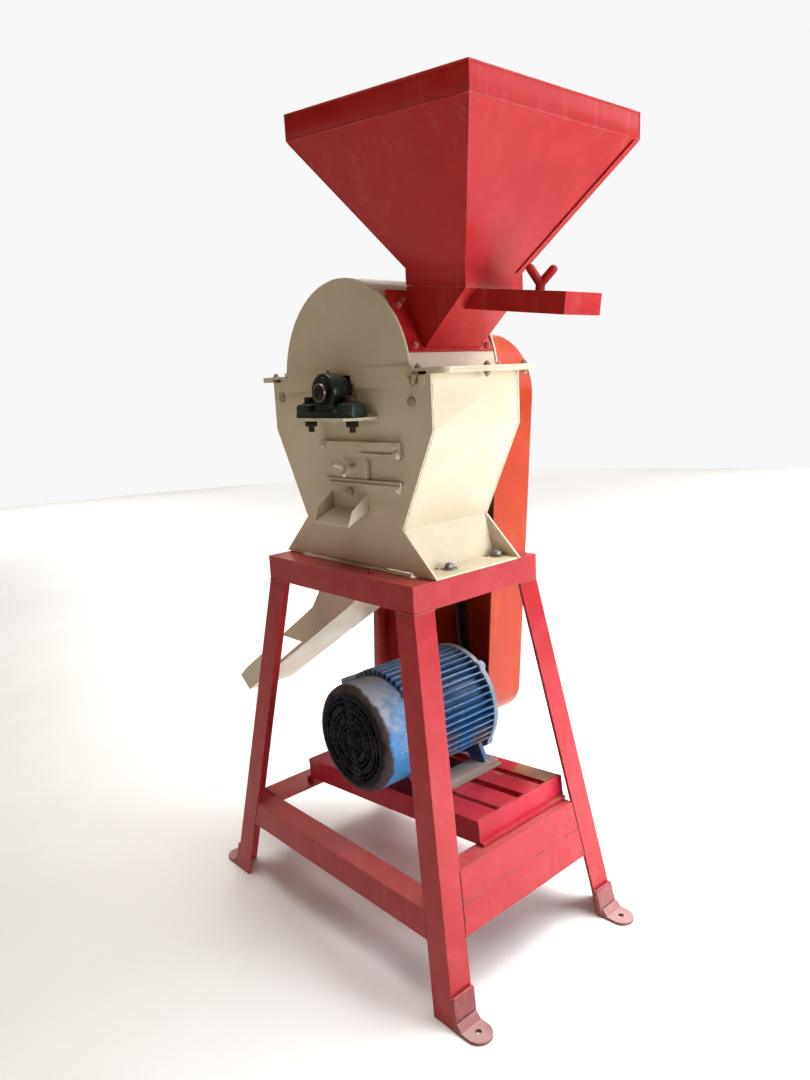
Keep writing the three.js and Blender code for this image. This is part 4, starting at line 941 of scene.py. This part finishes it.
def deck_details():
    """Weld runs along the deck's ends and corners, and the bolts that hold the motor down."""
    beads = Piece()
    for y0, y1 in [(-96, -35), (-17, 41), (69, 124), (149, 195)]:
        for x in (-318, 318):
            start = DECK @ Vector((x, y0, 0.4))
            end = DECK @ Vector((x, y1, 0.4))
            beads.bead(start, end, 1.6)
    for x in (-322, 322):
        for y in (-98, 197):
            beads.bead(DECK @ Vector((x, y, -2)), DECK @ Vector((x, y, -50)), 2.0)
    beads.finish("deck_welds", "red_weld", slot="stand_paint")
    bolts = Piece()
    up = DECK.to_3x3() @ Vector((0, 0, 1))
    for x in (-118, 118):
        for y in (-62, 134):
            bolts.bolt(MOTOR @ Vector((x, y, -135.4)), up, 19, 9, 15, 6, 0.3)
    bolts.finish("motor_foot_bolts", "fastener_zinc", slot="bare_steel", soften=0.4)


def motor_details():
    """Screws of the shields and the cowl, and the terminal box's lid."""
    shield = Piece()
    for angle in (45, 135, 225, 315):
        a = math.radians(angle)
        shield.bolt(MOTOR @ Vector((138 * math.cos(a), 178.6, 138 * math.sin(a))), (0, 1, 0), 13, 7, 9, 0)
        shield.bolt(MOTOR @ Vector((138 * math.cos(a), -93, 138 * math.sin(a))), (0, -1, 0), 8, 4, 0, 0)
    for angle in (20, 160, 200, 340):
        a = math.radians(angle)
        out = MOTOR.to_3x3() @ Vector((math.cos(a), 0, math.sin(a)))
        shield.bolt(MOTOR @ Vector((133.2 * math.cos(a), -104, 133.2 * math.sin(a))), out, 9, 4, 7, 0)
    shield.finish("motor_screws", "fastener_zinc", slot="bare_steel", soften=0.3)
    lid = Piece()
    lid.slab(-210, -205.6, -44, 44, -2, 76, MOTOR)
    lid.slab(-151, -147.6, -30, 30, 12, 62, MOTOR)
    lid.finish("terminal_lid", "motor_paint", soften=1.2)
    screws = Piece()
    outward = MOTOR.to_3x3() @ Vector((-1, 0, 0))
    for y in (-37, 37):
        for z in (5, 69):
            screws.bolt(MOTOR @ Vector((-210, y, z)), outward, 7, 3, 5, 0)
    screws.finish("terminal_screws", "fastener_zinc", slot="bare_steel", soften=0.2)


def fan_guard():
    """Wire rings and spokes over the slotted end of the cowl, black with oil and soot."""
    wires = Piece()
    face = along(MOTOR @ Vector((0, COWL_END - 0.6, 0)), (0, -1, 0))
    for r in (14, 22, 34, 49, 64, 79, 94, 108):
        wires.collar([(r - 1.5, -0.4), (r - 1.1, 1.5), (r + 1.1, 1.5), (r + 1.5, -0.4)], face, 64)
    for step in range(8):
        a = math.radians(22.5 + step * 45)
        wires.tube([face @ Vector((r * math.cos(a), r * math.sin(a), 1.2)) for r in (13, 60, 109)], 1.7, 8)
    wires.turned([(12, -0.4), (12, 2), (9, 3.2), (2, 3.6)], face, 40)
    wires.finish("fan_guard", "soot_black", slot="motor_paint")


# ---- Hopper, guard and chute ---------------------------------------------------------------------


def rim_point(sx, sy, drop):
    """A corner of the hopper's rim, or a point under it."""
    reach = 256
    return Vector((257 + sx * reach, sy * 246, 1838 - 0.086 * sx * reach - drop))


def neck_point(sx, sy, drop):
    """A corner of the hopper's neck, or a point under it."""
    reach = 85
    return Vector((254 + sx * reach, sy * reach, 1536.5 - 0.135 * sx * reach - drop))


def hopper_seams():
    """Rounded edges along the hopper's folds, and two laps of sheet beside its corners."""
    seams = Piece()
    for sx in (-1, 1):
        for sy in (-1, 1):
            top, fold = rim_point(sx, sy, 2), rim_point(sx, sy, 50)
            neck, foot = neck_point(sx, sy, 0), neck_point(sx, sy, 33)
            seams.tube([top, fold, neck, foot], 1.3, 8)
    corners = [(-1, -1), (1, -1), (1, 1), (-1, 1)]
    for (ax, ay), (bx, by) in zip(corners, corners[1:] + corners[:1]):
        seams.tube([rim_point(ax, ay, 1.6), rim_point(bx, by, 1.6)], 2.1, 8)
        seams.tube([rim_point(ax, ay, 50), rim_point(bx, by, 50)], 1.5, 8)
    seams.finish("hopper_seams", "hopper_paint")
    lap = Piece()
    for sx, sy in [(1, 1), (-1, -1)]:
        top, neck = rim_point(sx, sy, 54), neck_point(sx, sy, 2)
        normal = Vector((sx * 0.83, 0, -0.56))
        inward = Vector((0, -sy, 0))
        section = [(4, 0.3), (20, 0.3), (20, 1.9), (4, 1.9)]
        lap.skin([[end + inward * across + normal * out for across, out in section] for end in (top, neck)])
    lap.finish("hopper_laps", "hopper_paint", soften=0.5)


def guard_details():
    """Screws on the guard's rear face and the rolled lip round its open side."""
    lip = Piece()
    screws = Piece()
    pairs = [(118, 1330), (104, 1050), (88, 780), (68, 520)]
    for x, z in [(0, 1402)] + [(side * x, z) for x, z in pairs for side in (1, -1)] + [(0, 430)]:
        screws.bolt((x, GUARD_BACK + 0.1, z), (0, 1, 0), 10, 5, 8, 0, 0.4)
    for x in (-104, 104):
        screws.bolt((x, 232.2, 866), (0, 1, 0), 13, 7, 0, 0)
    screws.finish("guard_screws", "fastener_zinc", slot="bare_steel", soften=0.3)
    rims = []
    for r, z, first, last in [(151, 1275, -4.6, 184.6), (88, 492, 184.6, 355.4)]:
        turns = [math.radians(first + (last - first) * i / 40) for i in range(41)]
        rims += [(r * math.cos(a), z + r * math.sin(a)) for a in turns]
    path = [Vector((x * 0.99, GUARD_FRONT + 2, z)) for x, z in rims]
    path.append(path[0].copy())
    lip.tube(path, 2.4, 8)
    lip.finish("guard_lip", "guard_paint")


def chute_details():
    beads = Piece()
    for y in (-80, 80):
        beads.bead((-194, y, 835), (-262, y, 738), 1.5)
        beads.bead((-262, y, 738), (-420, y, 630), 1.5)
        beads.bead((4, y, 842), (-306, y, 632), 1.5)
    beads.finish("chute_welds", "cream_weld", slot="casing_paint")


def frame_front_bolt():
    """One small bolt head in the top frame's front side."""
    bolt = Piece()
    bolt.bolt((96, -168, TOP_OF_FRAME + 0.2), (0, 0, 1), 10, 4.5, 7, 2.5)
    bolt.finish("frame_bolts", "red_weld", slot="stand_paint", soften=0.4)


def add_floor():
    floor = bmesh.new()
    bmesh.ops.create_circle(floor, cap_ends=True, segments=96, radius=9.5)
    mesh = bpy.data.meshes.new("floor")
    floor.to_mesh(mesh)
    floor.free()
    mesh.materials.append(floor_material())
    ground = bpy.data.objects.new("floor", mesh)
    bpy.context.scene.collection.objects.link(ground)


add_camera()
light_scene()
add_floor()
dress_nodes()
casing_fasteners()
inlet_bolts()
casing_trim()
casing_welds()
spout_wing_nut()
pillow_block("front_pillow_block", "bearing_front", -1)
pillow_block("rear_pillow_block", "bearing_rear", 1)
shaft_end()
stand_welds()
deck_details()
motor_details()
fan_guard()
hopper_seams()
guard_details()
chute_details()
frame_front_bolt()
